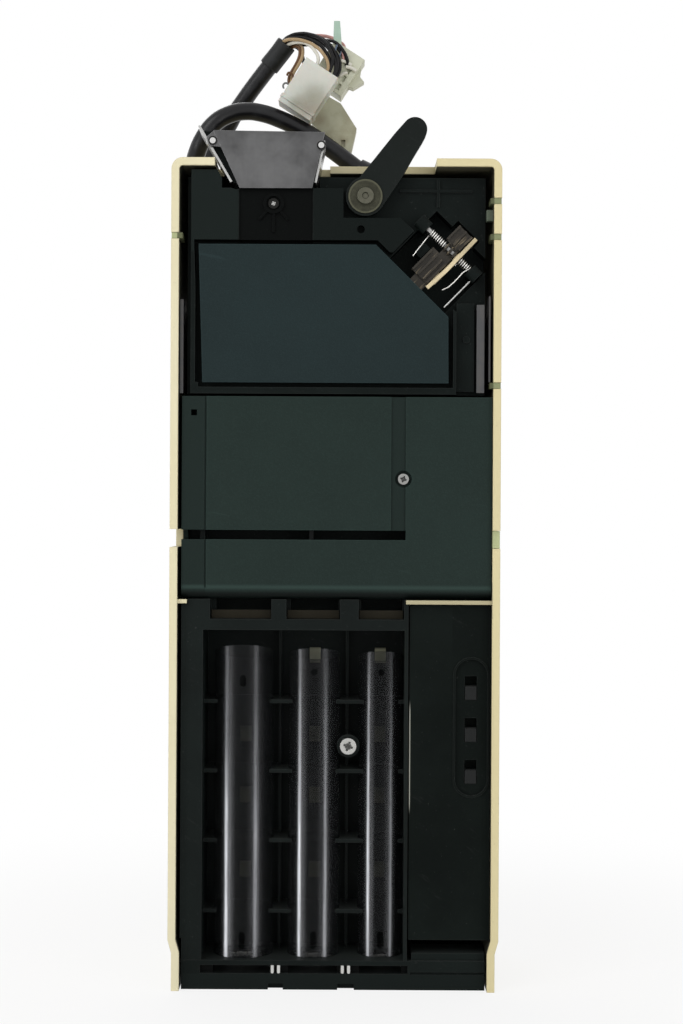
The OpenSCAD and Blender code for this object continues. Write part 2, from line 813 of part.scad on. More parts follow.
module lever_washer() {
    color(olive)
    difference() {
        rod(lever_at, [-37.7, -37.1], washer_r);
        rod(lever_at, [-38.7, -36.1], 2.5 + seat);
    }
}

module lever_screw() {
    color(steel) {
        difference() {
            rod(lever_at, [-39.2, -37.7], 3.6);
            rod(lever_at, [-40, -38.6], 1.5);
        }
        rod(lever_at, [-37.8, -33.25], 2.5);
        rod(lever_at, [-33.3, -28.6], 1.6);
    }
}

module lever_spring() {
    path = coil_path(1.5, 6.2, 1.2, [[0, 5]], [[0, 3]]);
    echo(spring = "lever", least_gap_mm = curl_gap(path, 0.6, 1, 1));
    color(steel)
    translate([lever_at[0], -33.4, lever_at[1]])
        rotate([0, 0, 90])
            sweep(path, 0.3, curl_sides);
}

module return_lever() {
    color(black)
    difference() {
        slab(lever_y)
            difference() {
                union() {
                    translate(lever_at)
                        circle(lever_boss_r);
                    polygon(lever_pts);
                    translate(lever_tip)
                        circle(lever_tip_r);
                }
                translate(lever_at)
                    circle(lever_bore_r);
            }
        rod(lever_at, [-34.9, -33], 7.2);
    }
    color(black)
    difference() {
        rod(lever_at, [-36.9, -33.9], 3.9);
        rod(lever_at, [-40, -30], lever_bore_r);
    }
}

// The bar that lifts the gate: it turns on the pin, in front of it, with a finger behind the arm
module lift_arm() {
    color(brass)
    difference() {
        union() {
            hinge_rod(collar_s, 2.4);
            on_hinge()
                slab(lift_y)
                    union() {
                        for (i = [0:1])
                            let (a = lift_kink[i], b = lift_kink[i + 1])
                                polygon([[a[1] - lift_w / 2, -a[0]], [a[1] + lift_w / 2, -a[0]],
                                    [b[1] + lift_w / 2, -b[0]], [b[1] - lift_w / 2, -b[0]]]);
                    }
            hinge_box(collar_s, [-1, 15], [-32.3, -30.9]);
            hinge_box([-1, collar_s[1]], [10, 15], [-32.3, -30.9]);
            hinge_box(collar_s, [-1, 1], [-33.4, -31.2]);
        }
        hinge_rod([collar_s[0] - over, collar_s[1] + over], pin_r + fit);
    }
}

module acceptor_gate() {
    rib_t = 1.4;
    color(slate) {
        slab(gate_y)
            gate_outline(0);
        slab(gate_rib_y)
            difference() {
                gate_outline(-2.4);
                gate_outline(-2.4 - rib_t);
            }
    }
}

// The arm that carries the gate on the pin, with ribs along it
module gate_arm() {
    color(amber)
    difference() {
        union() {
            for (s = knuckle_s)
                hinge_rod([s, s + 1.1], 2.2);
            hinge_box(arm_top_s, [arm_t[0], -2.4], arm_y);
            hinge_box(arm_s, [-2.6, arm_t[1]], arm_y);
            hinge_box(arm_wide_s, [arm_t[1] - 1, 17.6], arm_y);
            hinge_box([-4, 3.1], [17, arm_t[2]], [gate_rib_y[1], -32.4]);
            for (s = [-6.6, -3.4, -0.2, 2.1])
                hinge_box([s, s + 1], [5.4, 17.4], [-36, arm_y[0] + 0.2]);
            for (s = [-5, -1.4, 2.1])
                hinge_box([s, s + 1], [arm_t[0], -2.7], [-36, arm_y[0] + 0.2]);
        }
        hinge_rod([arm_s[0] - over, arm_s[1] + over], pin_r + fit);
    }
}

// ---------------------------------------------------------------- cover and sorter

// The cover's section: a flat front that rolls under at the bottom
module cover_section() {
    t = cover_y[1] - cover_y[0];
    translate([cover_y[0], cover_z[0]])
        square([t, cover_z[1] - cover_z[0]]);
    translate([cover_y[0] + cover_roll, cover_z[0]])
        intersection() {
            difference() {
                circle(cover_roll);
                circle(cover_roll - t);
            }
            translate([-cover_roll, -cover_roll])
                square([cover_roll, cover_roll]);
        }
    translate([cover_y[0] + cover_roll, cover_z[0] - cover_roll])
        square([4, t]);
}

module middle_cover() {
    return_y = [cover_y[0] + 1, -22];
    color(slate)
    difference() {
        union() {
            bar(cover_x)
                cover_section();
            for (x = [[cover_x[0], cover_x[0] + 2], [cover_x[1] - 2, cover_x[1]]])
                box(x, return_y, [cover_z[0] - 0.5, cover_z[1]]);
            rod(cover_screw_at, [cover_y[1] - 0.5, -33.9], 4);
        }
        box([cover_slot[0] - over, cover_slot[1]], [cover_y[0] - over, cover_y[1] + over],
            [cover_slot[2], cover_slot[3]]);
        box([cover_x[0] - over, cover_x[0] + 2.1], [cover_y[0], -26], [cover_slot[2], cover_slot[3]]);
        box(cover_band, [cover_y[0] - over, cover_y[0] + 0.8], [cover_slot[3], cover_z[1] + over]);
        box([-57.5, -56.7], [cover_y[0] - over, cover_y[0] + 0.6], [cover_z[0], cover_z[1] + over]);
        box([cover_hole[0] - 1.3, cover_hole[0] + 1.3], [cover_y[0] - over, cover_y[1] + over],
            [cover_hole[1] - 1.3, cover_hole[1] + 1.3]);
        rod(cover_screw_at, [cover_y[0] - over, -35.2], 3.7);
        rod(cover_screw_at, [cover_y[0] - over, -29], 1.7);
    }
}

module cover_screw() {
    color(bright) {
        screw_head(cover_screw_at, [-37, -35.2], 2.4);
        rod(cover_screw_at, [-35.3, -21], 1.5);
    }
}

// The sorter's plate with its sloping rail and the walls between the chutes
module sorter_deck() {
    color(black)
    difference() {
        union() {
            box([-65, 65.8], sorter_y, [174, 260.6]);
            cheek(sorter_rail, [sorter_rail_y, sorter_y[0] + 0.5], 2);
            for (x = chute_x)
                box([x - 1, x + 1], [sorter_rail_y, sorter_y[0] + 0.5], [175, 196]);
            for (x = [-58.5, 33.5])
                box([x - 1, x + 1], [sorter_rail_y, sorter_y[0] + 0.5], [195, 216]);
        }
        for (at = [accept_pin, sorter_pin])
            rod(at, [sorter_y[0] - over, sorter_y[1] + over], flap_pin_r);
        rod(cover_screw_at, [sorter_y[0] - over, sorter_y[1] + over], 1.5);
    }
}

module flap_pins() {
    color(steel)
    for (at = [accept_pin, sorter_pin])
        rod(at, [sorter_rail_y, sorter_y[1]], flap_pin_r);
}

// A flap that hangs from its pin and guides a coin to one side or the other
module flap(at, turn) {
    flap_y = [-33, -22.6];
    color(black)
    translate([at[0], 0, at[1]])
        rotate([0, turn, 0])
            difference() {
                union() {
                    rod([0, 0], flap_y, 2.4);
                    box([-0.9, 0.9], flap_y, [-flap_len, 0]);
                }
                rod([0, 0], [flap_y[0] - over, flap_y[1] + over], flap_pin_r + fit);
            }
}

module accept_flap() {
    flap(accept_pin, 0);
}

module sorter_flap() {
    flap(sorter_pin, 0);
}

// A solenoid: two end plates, a winding and a bore
module solenoid(at, y, half, bore) {
    z = [at[1] - half, at[1] + half];
    x = [at[0] - half, at[0] + half];
    difference() {
        union() {
            box(x, [y[0], y[0] + 1.6], z);
            box(x, [y[1] - 1.6, y[1]], z);
            rod(at, [y[0] + 1, y[1] - 1], half - 0.6);
            box(x, y, [z[0], z[0] + 1.2]);
        }
        rod(at, [y[0] - over, y[1] + over], bore);
    }
}

module accept_solenoid() {
    color(copper) {
        solenoid([-2, 240], [-19.2, 4], 8, 3);
        rod([-2, 240], [-19.2, -2], 2.7);
    }
}

module main_board() {
    color(board_green)
    difference() {
        box(board_x, board_y, board_z);
        for (x = [board_x[0] + post_inset, board_x[1] - post_inset])
            for (z = [board_z[0] + post_inset, board_z[1] - post_inset])
                rod([x, z], [board_y[0] - over, board_y[1] + over], 1.3);
    }
}

module board_parts() {
    y = board_y[0] - 0.05;
    color(black) {
        for (chip = [[-30, 200, 12, 20], [10, 190, 20, 20], [-34, 110, 10, 26], [20, 130, 14, 14]])
            box([chip[0], chip[0] + chip[2]], [y - 3, y], [chip[1], chip[1] + chip[3]]);
        for (cap = [[40, 215], [40, 200], [-44, 150], [-44, 90]])
            rod(cap, [y - 12, y], 5);
        box([-20, 20], [y - 9, y], [226, 234]);
    }
}

// ---------------------------------------------------------------- cassette and tubes

module cassette_frame() {
    color(black)
    difference() {
        union() {
            difference() {
                box(frame_x, frame_y, frame_z);
                box(window_x, [frame_y[0] - over, frame_y[1] + over], window_z);
            }
            box(frame_x, rear_wall_y, frame_z);
            box([window_x[1], frame_x[1]], [frame_y[0], rear_wall_y[1]], frame_z);
            box([window_x[0] - 1.4, window_x[0]], [frame_y[0], rear_wall_y[1]], frame_z);
            box([window_x[0] - 1, frame_x[1]], [frame_y[0], rear_wall_y[1]],
                [window_z[1], frame_z[1]]);
            for (z = rib_z)
                box([window_x[0] - 0.5, window_x[1] + 0.5], [rib_y, rear_wall_y[0] + 0.5],
                    [z - 0.8, z + 0.8]);
            for (x = web_x)
                box([x - 0.6, x + 0.6], [-12, rear_wall_y[0] + 0.5], [frame_z[0], window_z[1] + 1]);
            rod(cassette_screw_at, [-27.6, rear_wall_y[0] + 0.5], 3.4);
            rod(cassette_screw_at, [-29.4, -27.5], 5);
        }
        for (i = [0:2]) {
            translate([tube_x[i], tube_y, frame_z[0] - over])
                cylinder(h = window_z[1] - frame_z[0] + over - 1, r = tube_r[i] + 0.25);
            box([tube_x[i] - tube_r[i] + tube_wall, tube_x[i] + tube_r[i] - tube_wall],
                [tube_y - tube_r[i] + tube_wall + 0.8, tube_y + tube_r[i] - tube_wall],
                [window_z[1] - 2, frame_z[1] + over]);
            box(mouth_x[i], [frame_y[0] - over, tube_y - 8], [mouth_z, frame_z[1] + over]);
            rod([tube_x[i], sensor_z[0] + 15], [rear_wall_y[0] - over, rear_wall_y[1] + over], 2.2);
        }
        rod(cassette_screw_at, [-30, rear_wall_y[1] + over], 1.75);
        rod(cassette_screw_at, [-30, -28.7], 4);
        box([frame_x[0] - over, shelf_cut[0] + 0.3], [frame_y[0] - over, over],
            [shelf_z[0] - 0.2, frame_z[1] + over]);
        box([shelf_cut[1] - 0.2, frame_x[1] + over], [frame_y[0] - over, over],
            [shelf_z[0] - 0.2, frame_z[1] + over]);
        // room for the housing's narrower foot
        box([frame_x[0] - over, -66.9], [frame_y[0] - over, over], [frame_z[0] - over, foot_z[1] + 0.2]);
        // the bays left and right of the window's ribs stay open towards the front
        box([window_x[0], window_x[1]], [frame_y[0] - over, frame_y[1]],
            [frame_z[0] - over, window_z[0] + 0.1]);
    }
}

// A coin tube, cut aslant at the top so that its front stands higher than its back
module coin_tube(i) {
    r = tube_r[i];
    top = tube_foot + tube_h - i * 1.4;
    color(smoke)
    translate([tube_x[i], tube_y, 0])
        difference() {
            translate([0, 0, tube_foot + 0.1])
                cylinder(h = top - tube_foot, r = r);
            translate([0, 0, tube_foot - over])
                cylinder(h = tube_h + 3, r = r - tube_wall);
            translate([0, -r, top])
                rotate([-16.5, 0, 0])
                    translate([-20, -10, 0])
                        cube([40, 60, 20]);
            slab([-r - over, 0]) {
                oval([0, tube_hole_z[i]], i == 0 ? 1.2 : 0.2, 1.35);
                oval([0, tube_slot_z], 2.6, 1.3);
            }
        }
}

// The brown lips on which a coin slides from the sorter into its tube
module chute_lips() {
    color(amber)
    for (i = [0:2])
        box(mouth_x[i] + [0.4, -0.4], [-31.6, tube_y - 8.8], lip_z);
}

module tube_sensors() {
    color(olive) {
        for (i = [0:2])
            for (z = sensor_z)
                box([tube_x[i] - 2.5, tube_x[i] + 2.5], [rear_wall_y[0] - 1.4, rear_wall_y[0]],
                    [z - 3.5, z + 3.5]);
        for (i = [1:2])
            box([tube_x[i] - 2.5, tube_x[i] + 2.5], [rear_wall_y[0] - 1.4, rear_wall_y[0]],
                [sensor_top_z - 3.5, sensor_top_z + 3.5]);
    }
}

module cassette_screw() {
    color(bright) {
        screw_head(cassette_screw_at, [-31, -28.8], 3.6);
        rod(cassette_screw_at, [-28.9, -0.3], 1.65);
    }
}

// ---------------------------------------------------------------- button panel

function button_z(i) = button_z0 + (1 - i) * button_pitch;

module button_panel() {
    side_y = [panel_y[0], -6];
    color(black)
    difference() {
        union() {
            box(panel_x, panel_y, panel_z);
            box([panel_x[0], panel_x[0] + 1.8], side_y, panel_z);
            box(panel_x, [panel_y[0], -14], [panel_z[1] - 1.8, panel_z[1]]);
            box(panel_x, [panel_y[0], -14], [panel_z[0], panel_z[0] + 1.8]);
            slab([panel_y[0] - 0.5, panel_y[0] + 0.1])
                difference() {
                    oval(oval_at, oval_half, oval_r);
                    oval(oval_at, oval_half, oval_r - 0.9);
                }
            for (z = [92, 138])
                rod([53.5, z], [panel_y[1] - 0.2, -25.1], 2.2);
        }
        slab([panel_y[0] - over, panel_y[0] + 1])
            oval(oval_at, oval_half, oval_r - 0.9);
        for (i = [0:2])
            box([button_x - window_w / 2, button_x + window_w / 2],
                [panel_y[0] - over, panel_y[1] + over],
                [button_z(i) - window_h / 2, button_z(i) + window_h / 2]);
    }
}

module button(i) {
    z = [button_z(i) - button_drop - button_h / 2, button_z(i) - button_drop + button_h / 2];
    x = [button_x - button_w / 2, button_x + button_w / 2];
    color(black) {
        box(x, [button_y[0], -32.6], z);
        box([x[0] - 1.4, x[1] + 1.4], [-32.8, button_y[1]], [z[0] - 1.4, z[1] + 0.2]);
        rod([button_x, button_z(i) - button_drop], [button_y[1] - 0.1, switch_y - 0.1 - button_travel], 1.5);
    }
}

module button_board() {
    color(board_green)
    box([50, 67], [-25, -23.4], [88, 142]);
    color(steel)
    for (i = [0:2])
        translate([0, 0, button_z(i) - button_drop]) {
            box([button_x - 3, button_x + 3], [-27.2, -24.9], [-3, 3]);
            rod([button_x, 0], [switch_y, -27.1], 1.6);
        }
}

// ---------------------------------------------------------------- payout base

module payout_base() {
    slot_z = [slot_z0, slot_z0 + slot_h];
    color(black)
    difference() {
        union() {
            box(base_x, [base_y[0], 7], [0, tube_foot]);
            box(base_x, [6.5, base_y[1]], [0, base_floor]);
            box([34.6, 66.9], [base_y[0] + 1, -18], [tube_foot - 0.5, step_top]);
        }
        box(slot_x, [base_y[0] - over, base_y[0] + lip_d], slot_z);
        for (i = [0:2]) {
            box([tube_x[i] - lane_half[i], tube_x[i] + lane_half[i]], [base_y[0] - over, 8], slot_z);
            translate([tube_x[i], tube_y, slot_z0 + 1])
                cylinder(h = tube_foot, r = tube_r[i] - tube_wall);
        }
        for (x = notch_x)
            box(x, [base_y[0] - over, base_y[0] + 3], [-over, 2.6]);
        for (x = pin_x)
            translate([x, base_y[0] + 1, slot_z0 - 0.8])
                cylinder(h = slot_h + 1.6, r = slot_pin_r);
        box([34, 68], [base_y[0] - over, base_y[0] + 1.2], [6.9, 7.9]);
        box([36, 64], [-16, 4], [base_floor, tube_foot + over]);
    }
}

module payout_pins() {
    color(bright)
    for (x = pin_x)
        translate([x, base_y[0] + 1, slot_z0 - 0.8])
            cylinder(h = slot_h + 1.6, r = slot_pin_r);
}

// A pusher: a plate whose front edge fits the coin, a tongue and the plunger on its end
module pusher(i) {
    mid_z = (pusher_z[0] + pusher_z[1]) / 2;
    color(steel) {
        difference() {
            box([tube_x[i] - lane_half[i] + free, tube_x[i] + lane_half[i] - free], pusher_y, pusher_z);
            translate([tube_x[i], tube_y, pusher_z[0] - over])
                cylinder(h = 4, r = tube_r[i] - tube_wall + 0.2);
        }
        box([tube_x[i] - tongue_w / 2, tube_x[i] + tongue_w / 2], [pusher_y[1] - 1, plunger_y[0] + 0.5],
            pusher_z);
        rod([tube_x[i], mid_z], plunger_y, plunger_r);
    }
}

module payout_solenoid(i) {
    mid_z = (pusher_z[0] + pusher_z[1]) / 2;
    color(copper)
    solenoid([tube_x[i], mid_z], coil_y, mid_z - base_floor, plunger_r + 0.08);
}

// ---------------------------------------------------------------- harness

module harness_cable() {
    color(jacket)
    sweep(cable_route, cable_d / 2, cable_sides);
}

module cable_sleeve() {
    start = cable_route[len(cable_route) - 1];
    way = sleeve_end - start;
    color(black)
    translate(start)
        rotate([0, acos(way[2] / norm(way)), atan2(way[1], way[0])])
            difference() {
                cylinder(h = norm(way), r = sleeve_r);
                translate([0, 0, norm(way) - 1.5])
                    cylinder(h = 3, r = sleeve_r - 0.8);
            }
}

module harness_wires() {
    color(jacket)
    for (route = wire_routes)
        sweep(route, wire_d / 2, wire_sides);
}

// What is drawn in it: X runs across a plug and Z along it, from the plug's middle
module on_plug(at) {
    translate(at)
        rotate([0, plug_tilt, 0])
            children();
}

module connector_white() {
    color(milky)
    on_plug(white_at) {
        cube(white_size, center = true);
        translate([0, 0, -white_size[2] / 2 + 3])
            cube([white_size[0] + 0.8, white_size[1] + 0.8, 1.6], center = true);
    }
}

module connector_tan() {
    color(tan)
    difference() {
        slab(tan_y)
            polygon(tan_pts);
        box([1.6, 3.6], [tan_y[0] - over, tan_y[0] + 1.4], [381, 384.4]);
    }
}

module connector_beige() {
    color(beige) {
        on_plug(beige_at)
            difference() {
                union() {
                    cube(beige_size, center = true);
                    slab([-3, 3])
                        polygon(beige_latch);
                }
                for (d = [-7, -2.6, 1.8])
                    translate([5, -beige_size[1] / 2, d])
                        cube([1.6, 3, 3], center = true);
            }
        slab([14, 16])
            polygon(beige_tab);
    }
}

// ---------------------------------------------------------------- what is drawn

rear_housing();
cable_gland();
retaining_clips();
side_rails();
wall_clip();
board_screws();
acceptor_body();
sensor_coils();
deck_screw();
funnel_plate();
funnel_body();
funnel_cheeks();
funnel_rivets();
hinge_pin();
gate_spring_upper();
gate_spring_lower();
lever_screw();
lever_washer();
lever_spring();
return_lever();
lift_arm();
acceptor_gate();
gate_arm();
middle_cover();
cover_screw();
sorter_deck();
flap_pins();
accept_flap();
sorter_flap();
accept_solenoid();
main_board();
board_parts();
cassette_frame();
coin_tube(0);  // coin_tube_left
coin_tube(1);  // coin_tube_middle
coin_tube(2);  // coin_tube_right
chute_lips();
tube_sensors();
cassette_screw();
button_panel();
button_board();
button(0);  // button_top
button(1);  // button_middle
button(2);  // button_low
payout_base();
payout_pins();
pusher(0);  // pusher_left
pusher(1);  // pusher_middle
pusher(2);  // pusher_right
payout_solenoid(0);  // solenoid_left
payout_solenoid(1);  // solenoid_middle
payout_solenoid(2);  // solenoid_right
harness_cable();
cable_sleeve();
harness_wires();
connector_white();
connector_tan();
connector_beige();
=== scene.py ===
"""Coin changer: the finishes, the cable harness, the springs, the small parts and the stage."""

import math

import bmesh
import bpy
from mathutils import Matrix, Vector


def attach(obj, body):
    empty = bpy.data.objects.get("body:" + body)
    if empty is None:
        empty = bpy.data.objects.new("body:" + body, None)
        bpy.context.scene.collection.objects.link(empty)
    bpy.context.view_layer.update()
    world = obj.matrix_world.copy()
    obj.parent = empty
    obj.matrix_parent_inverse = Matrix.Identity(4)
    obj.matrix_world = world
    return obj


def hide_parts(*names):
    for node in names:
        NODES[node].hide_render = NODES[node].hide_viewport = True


bl_info = {
    "name": "Coin Changer",
    "version": (1, 0, 0),
    "blender": (4, 5, 0),
    "location": "View3D > Sidebar > Changer",
    "description": "Builds the finishes, harness, springs and stage of a coin changer",
    "category": "Object",
}

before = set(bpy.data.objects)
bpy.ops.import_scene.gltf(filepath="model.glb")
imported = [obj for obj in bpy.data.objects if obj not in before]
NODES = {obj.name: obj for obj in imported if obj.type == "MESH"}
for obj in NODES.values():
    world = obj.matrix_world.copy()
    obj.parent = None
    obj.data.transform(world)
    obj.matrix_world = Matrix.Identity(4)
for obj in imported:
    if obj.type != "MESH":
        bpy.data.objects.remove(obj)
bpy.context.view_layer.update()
MM = 0.001
FIXED = "housing"

# The cable's middle line from the gland to the sleeve, and each wire's from the sleeve on,
# in millimetres
CABLE_ROUTE = (
    (9, 6, 370), (2.5, 6, 374.9), (-4.5, 6, 380), (-11.5, 6, 384.8), (-19, 5.5, 389),
    (-27, 5, 392.6), (-35, 4, 395), (-43, 3, 395.6), (-50.6, 2, 393.6), (-56.7, 1.1, 389.6),
    (-61.9, 1.4, 382.7), (-64.8, 4.2, 377.1), (-66.6, 9, 372.8), (-67.5, 15.2, 370.5),
    (-67.2, 22.1, 370.5), (-65.8, 28.4, 373), (-63.7, 32.8, 377.2), (-60.8, 35.3, 382.9),
    (-57.3, 35.4, 389.8), (-53, 34.6, 394.8), (-49.6, 33.6, 400.6), (-45.4, 32.2, 406.4),
    (-40.9, 30.8, 412.4), (-36, 29.2, 418.5), (-32.9, 28, 422.2),
)
SLEEVE_END = (-24.3, 24.8, 432.4)
# The sleeve's rings: the share of its length and the radius
SLEEVE_RINGS = (
    (-0.0004, 4.25), (0, 4.75), (0.06, 4.9), (0.3, 4.85), (0.62, 4.82), (0.93, 4.9),
    (0.985, 4.85), (1, 4.6), (0.985, 4.2), (0.9, 4.05),
)
SLEEVE_SIDES = 40
WIRES = (
    ("black", "connector_white", (
        (-26.6, 25.7, 433.4), (-24.4, 24.9, 435.4), (-20.4, 23, 436.4), (-15, 20.2, 436),
        (-9.6, 17, 434), (-5, 13.4, 430.4), (-1.8, 10, 425.4), (-0.2, 7.2, 419.6),
        (-0.6, 5.6, 415.4), (-2.1, 5, 412))),
    ("black", "connector_white", (
        (-26.5, 23.3, 432.5), (-24.2, 22, 434), (-20, 19.2, 434.2), (-14.6, 15.2, 432.6),
        (-9.6, 11.4, 429.4), (-5.6, 8.2, 424.6), (-3.6, 6, 418.8), (-4.6, 5.2, 413.7))),
    ("black", "connector_tan", (
        (-23.3, 26.7, 430.9), (-21.2, 26.6, 431.6), (-18.6, 25.6, 430.2), (-16.8, 23.9, 426.4),
        (-16, 21.8, 420), (-14.9, 19.6, 411.4), (-12.4, 17.8, 403.6), (-8.3, 16.5, 398.5))),
    ("white", "connector_white", (
        (-24.8, 22.7, 430.9), (-22.4, 20.8, 431.6), (-18.4, 17, 431.2), (-14.2, 13, 429.4),
        (-11, 9.2, 425.6), (-9.1, 6.8, 420.8), (-10, 6.4, 417.1))),
    ("brown", "connector_white", (
        (-23.2, 24.4, 430), (-21, 22.6, 430.8), (-18.6, 18.8, 429.4), (-17.8, 14.4, 426),
        (-18.4, 11.2, 421.8), (-20, 9.2, 418), (-21.8, 8, 414.4), (-22.7, 7.2, 410.8),
        (-22.1, 7, 408.5))),
    ("pink", "connector_beige", (
        (-25, 27.4, 432.5), (-22.6, 27, 434.6), (-17.6, 26, 436), (-11, 24.6, 436.4),
        (-4.6, 22.8, 435.4), (0, 21.2, 433), (2.6, 19.8, 430.6), (3.1, 19, 428.4))),
    ("black", "connector_beige", (
        (-24.9, 25, 431.7), (-22.4, 24.2, 432.9), (-16, 23.5, 433.4), (-10.4, 21, 433.4),
        (-5.6, 17, 432.2), (-1.4, 12.4, 430.2), (2, 10.6, 426.4), (4.2, 10.8, 422),
        (4.6, 12.7, 418.6))),
)

# More wires of the bunch: which route each runs beside, and by how much in millimetres
EXTRA_WIRES = (
    (0, "black", (1.5, 1.6, -1.5)), (1, "black", (1.7, -0.9, 1.7)), (6, "black", (-0.4, 1.8, -1.6)),
    (0, "black", (-1.2, -1.5, -1.6)), (1, "tan", (-1.3, -1.7, -1.6)), (4, "tan", (1.4, 0.3, 0.5)),
)
# How much more of that its middle moves than its ends
BOW = 0.55
WIRE_COLOURS = {
    "black": (0.006, 0.006, 0.007),
    "white": (0.72, 0.70, 0.62),
    "brown": (0.13, 0.065, 0.03),
    "pink": (0.62, 0.33, 0.30),
    "tan": (0.42, 0.30, 0.17),
    "grey": (0.20, 0.20, 0.20),
    "blue": (0.17, 0.22, 0.30),
}
# Bare ends and contacts that stick out beside the plugs: name, skin, radius and points
STUBS = (
    ("contact_1", "white", 0.8, ((-6.2, 10.6, 421.4), (-3.9, 10.8, 420.6), (-1.6, 11.4, 419.2))),
    ("contact_2", "white", 0.85, ((1.5, 11.6, 421.4), (3.9, 11.7, 420.8), (6.3, 12.2, 419.3))),
    ("contact_3", "white", 0.85, ((3.7, 11.6, 418.5), (6.2, 11.7, 418.0), (8.5, 12.2, 416.7))),
    ("contact_4", "white", 0.75, ((1.0, 11.7, 414.2), (2.6, 11.8, 415.4), (4.4, 12.3, 415.9))),
    ("end_pink", "pink", 0.75, ((2.2, 11.4, 426.8), (2.5, 11.3, 424.4), (2.9, 11.9, 421.7))),
    ("end_blue", "blue", 0.45, ((-1.7, 12.1, 423.6), (-1.2, 11.4, 426.6), (0.3, 11.1, 428.7),
                                (1.8, 11.3, 427.4), (1.5, 11.7, 425.0), (0.5, 12.3, 423.2))),
    ("hook_brown", "brown", 0.5, ((-23.6, 5.4, 412.8), (-22.8, 5.2, 414.1), (-21.3, 5.2, 413.5),
                                  (-20.4, 5.4, 411.9), (-18.4, 5.8, 410.8))),
    ("hook_grey", "grey", 0.45, ((-25.0, 5.4, 406.8), (-25.3, 5.2, 408.3), (-24.2, 5.2, 409.3),
                                 (-22.6, 5.4, 408.7), (-20.4, 5.8, 407.5))),
)

# The middle of the gate's hinge, its slope and the springs along it: the node that each stands
# for, its name, start and turns, and the drift and reach of the legs at its two ends
HINGE = (50.2, -35, 326.1)
HINGE_SLOPE = math.radians(44.5)
COIL_RADIUS = 1.7
COIL_PITCH = 1.05
COILS = (
    ("gate_spring_upper", "spring_upper", -11.8, 8, ((1.5, 13),), ((0, 0.9),)),
    ("gate_spring_lower", "spring_lower", 5.9, 5.5, ((0, 3),),
     ((-0.9, 3), (-0.7, 8.6), (-0.9, 12), (-2, 15))),
)
# The lever's pivot in X and Z, and its spring: turns, radius, pitch and the two legs
LEVER_PIVOT = (12.6, 349.7)
LEVER_COIL = (1.5, 6.2, 1.2, ((0, 5),), ((0, 3),))
LEVER_COIL_FRONT = -33.4
LEVER_WIRE_RADIUS = 0.3

# Stretches of the housing in millimetres: its shelf, and all of its inside, where shade is painted
SHELF = (("X", 30, 69.4), ("Y", -42, 37.2), ("Z", 164, 180))
INSIDE = (("X", -69.4, 69.4), ("Y", -38.3, 37.2), ("Z", -9, 362.8))

# Each tube's middle in X and its radius; the painted reflections streaked down its front, as a
# share of the radius: place, half width and strength
TUBES = ((-40.4, 13.3), (-8.9, 11.7), (20.9, 10.2))
STREAKS = ((-0.54, 0.05, 1.2), (-0.48, 0.14, 0.22), (0.44, 0.06, 0.5), (0.42, 0.16, 0.12))

# The chips on the control board: left, low end, width and height, with the board's front, the
# bare stretch at a chip's ends, the legs' sizes and the thickness of their sheet
CHIPS = ((-30, 200, 12, 20), (10, 190, 20, 20), (-34, 110, 10, 26), (20, 130, 14, 14))
BOARD_FRONT = 22
CHIP_END = 1.6
LEGS = {"Pitch": 2.54, "Width": 0.5, "Reach": 1.1, "Drop": 1.5}
LEG_SHEET = 0.25

# The stage, in metres, but the camera's sensor in millimetres: the lamps' names, widths, heights
# and powers, where each stands and where it points; the share of the white that lights the part;
# the floor's shades, its glow under the part, and where that grows to full
SENSOR = 36
CAMERA_X = 0.0028
HOUSING_FRONT = -0.04
LAMPS = (
    ("key", 0.8, 0.8, 5.6, (-0.75, -1.0, 1.15), (0, 0, 0.2)),
    ("fill", 1.1, 1.1, 3.5, (0.95, -1.1, 0.55), (0, 0, 0.2)),
    ("rim", 0.7, 0.7, 2.6, (-0.3, 1.0, 1.0), (0, 0, 0.25)),
    ("strip_left", 0.12, 0.8, 2.4, (-0.80, -0.62, 0.05), (0, 0, 0.10)),
    ("strip_right", 0.12, 0.8, 1.4, (0.68, -0.76, 0.05), (0, 0, 0.10)),
)
SURROUND_LIGHT = 0.55
FLOOR_SIZE = 3
FLOOR_SHADES = ((0.86, 0.86, 0.86), (0.82, 0.82, 0.82))
FLOOR_GLOW = 0.82
FLOOR_FADE = (0.1, 0.42)


# ------------------------------------------------------------------ node trees


class Value:
    """An output socket that takes part in Python expressions."""

    def __init__(self, tree, socket):
        self.tree = tree
        self.socket = socket

    def maths(self, operation, first, second=None):
        node = self.tree.nodes.new("ShaderNodeMath")
        node.operation = operation
        for slot, value in zip(node.inputs, (first, second)):
            if isinstance(value, Value):
                self.tree.links.new(value.socket, slot)
            elif value is not None:
                slot.default_value = value
        return Value(self.tree, node.outputs[0])

    def __add__(self, other):
        return self.maths("ADD", self, other)

    __radd__ = __add__

    def __sub__(self, other):
        return self.maths("SUBTRACT", self, other)

    def __rsub__(self, other):
        return self.maths("SUBTRACT", other, self)

    def __mul__(self, other):
        return self.maths("MULTIPLY", self, other)

    __rmul__ = __mul__

    def __pow__(self, other):
        return self.maths("POWER", self, other)

    def over(self, low, high):
        """0 below low, 1 above high, and smooth between them."""
        node = self.tree.nodes.new("ShaderNodeMapRange")
        node.interpolation_type = "SMOOTHSTEP"
        self.tree.links.new(self.socket, node.inputs["Value"])
        node.inputs["From Min"].default_value = low
        node.inputs["From Max"].default_value = high
        return Value(self.tree, node.outputs["Result"])


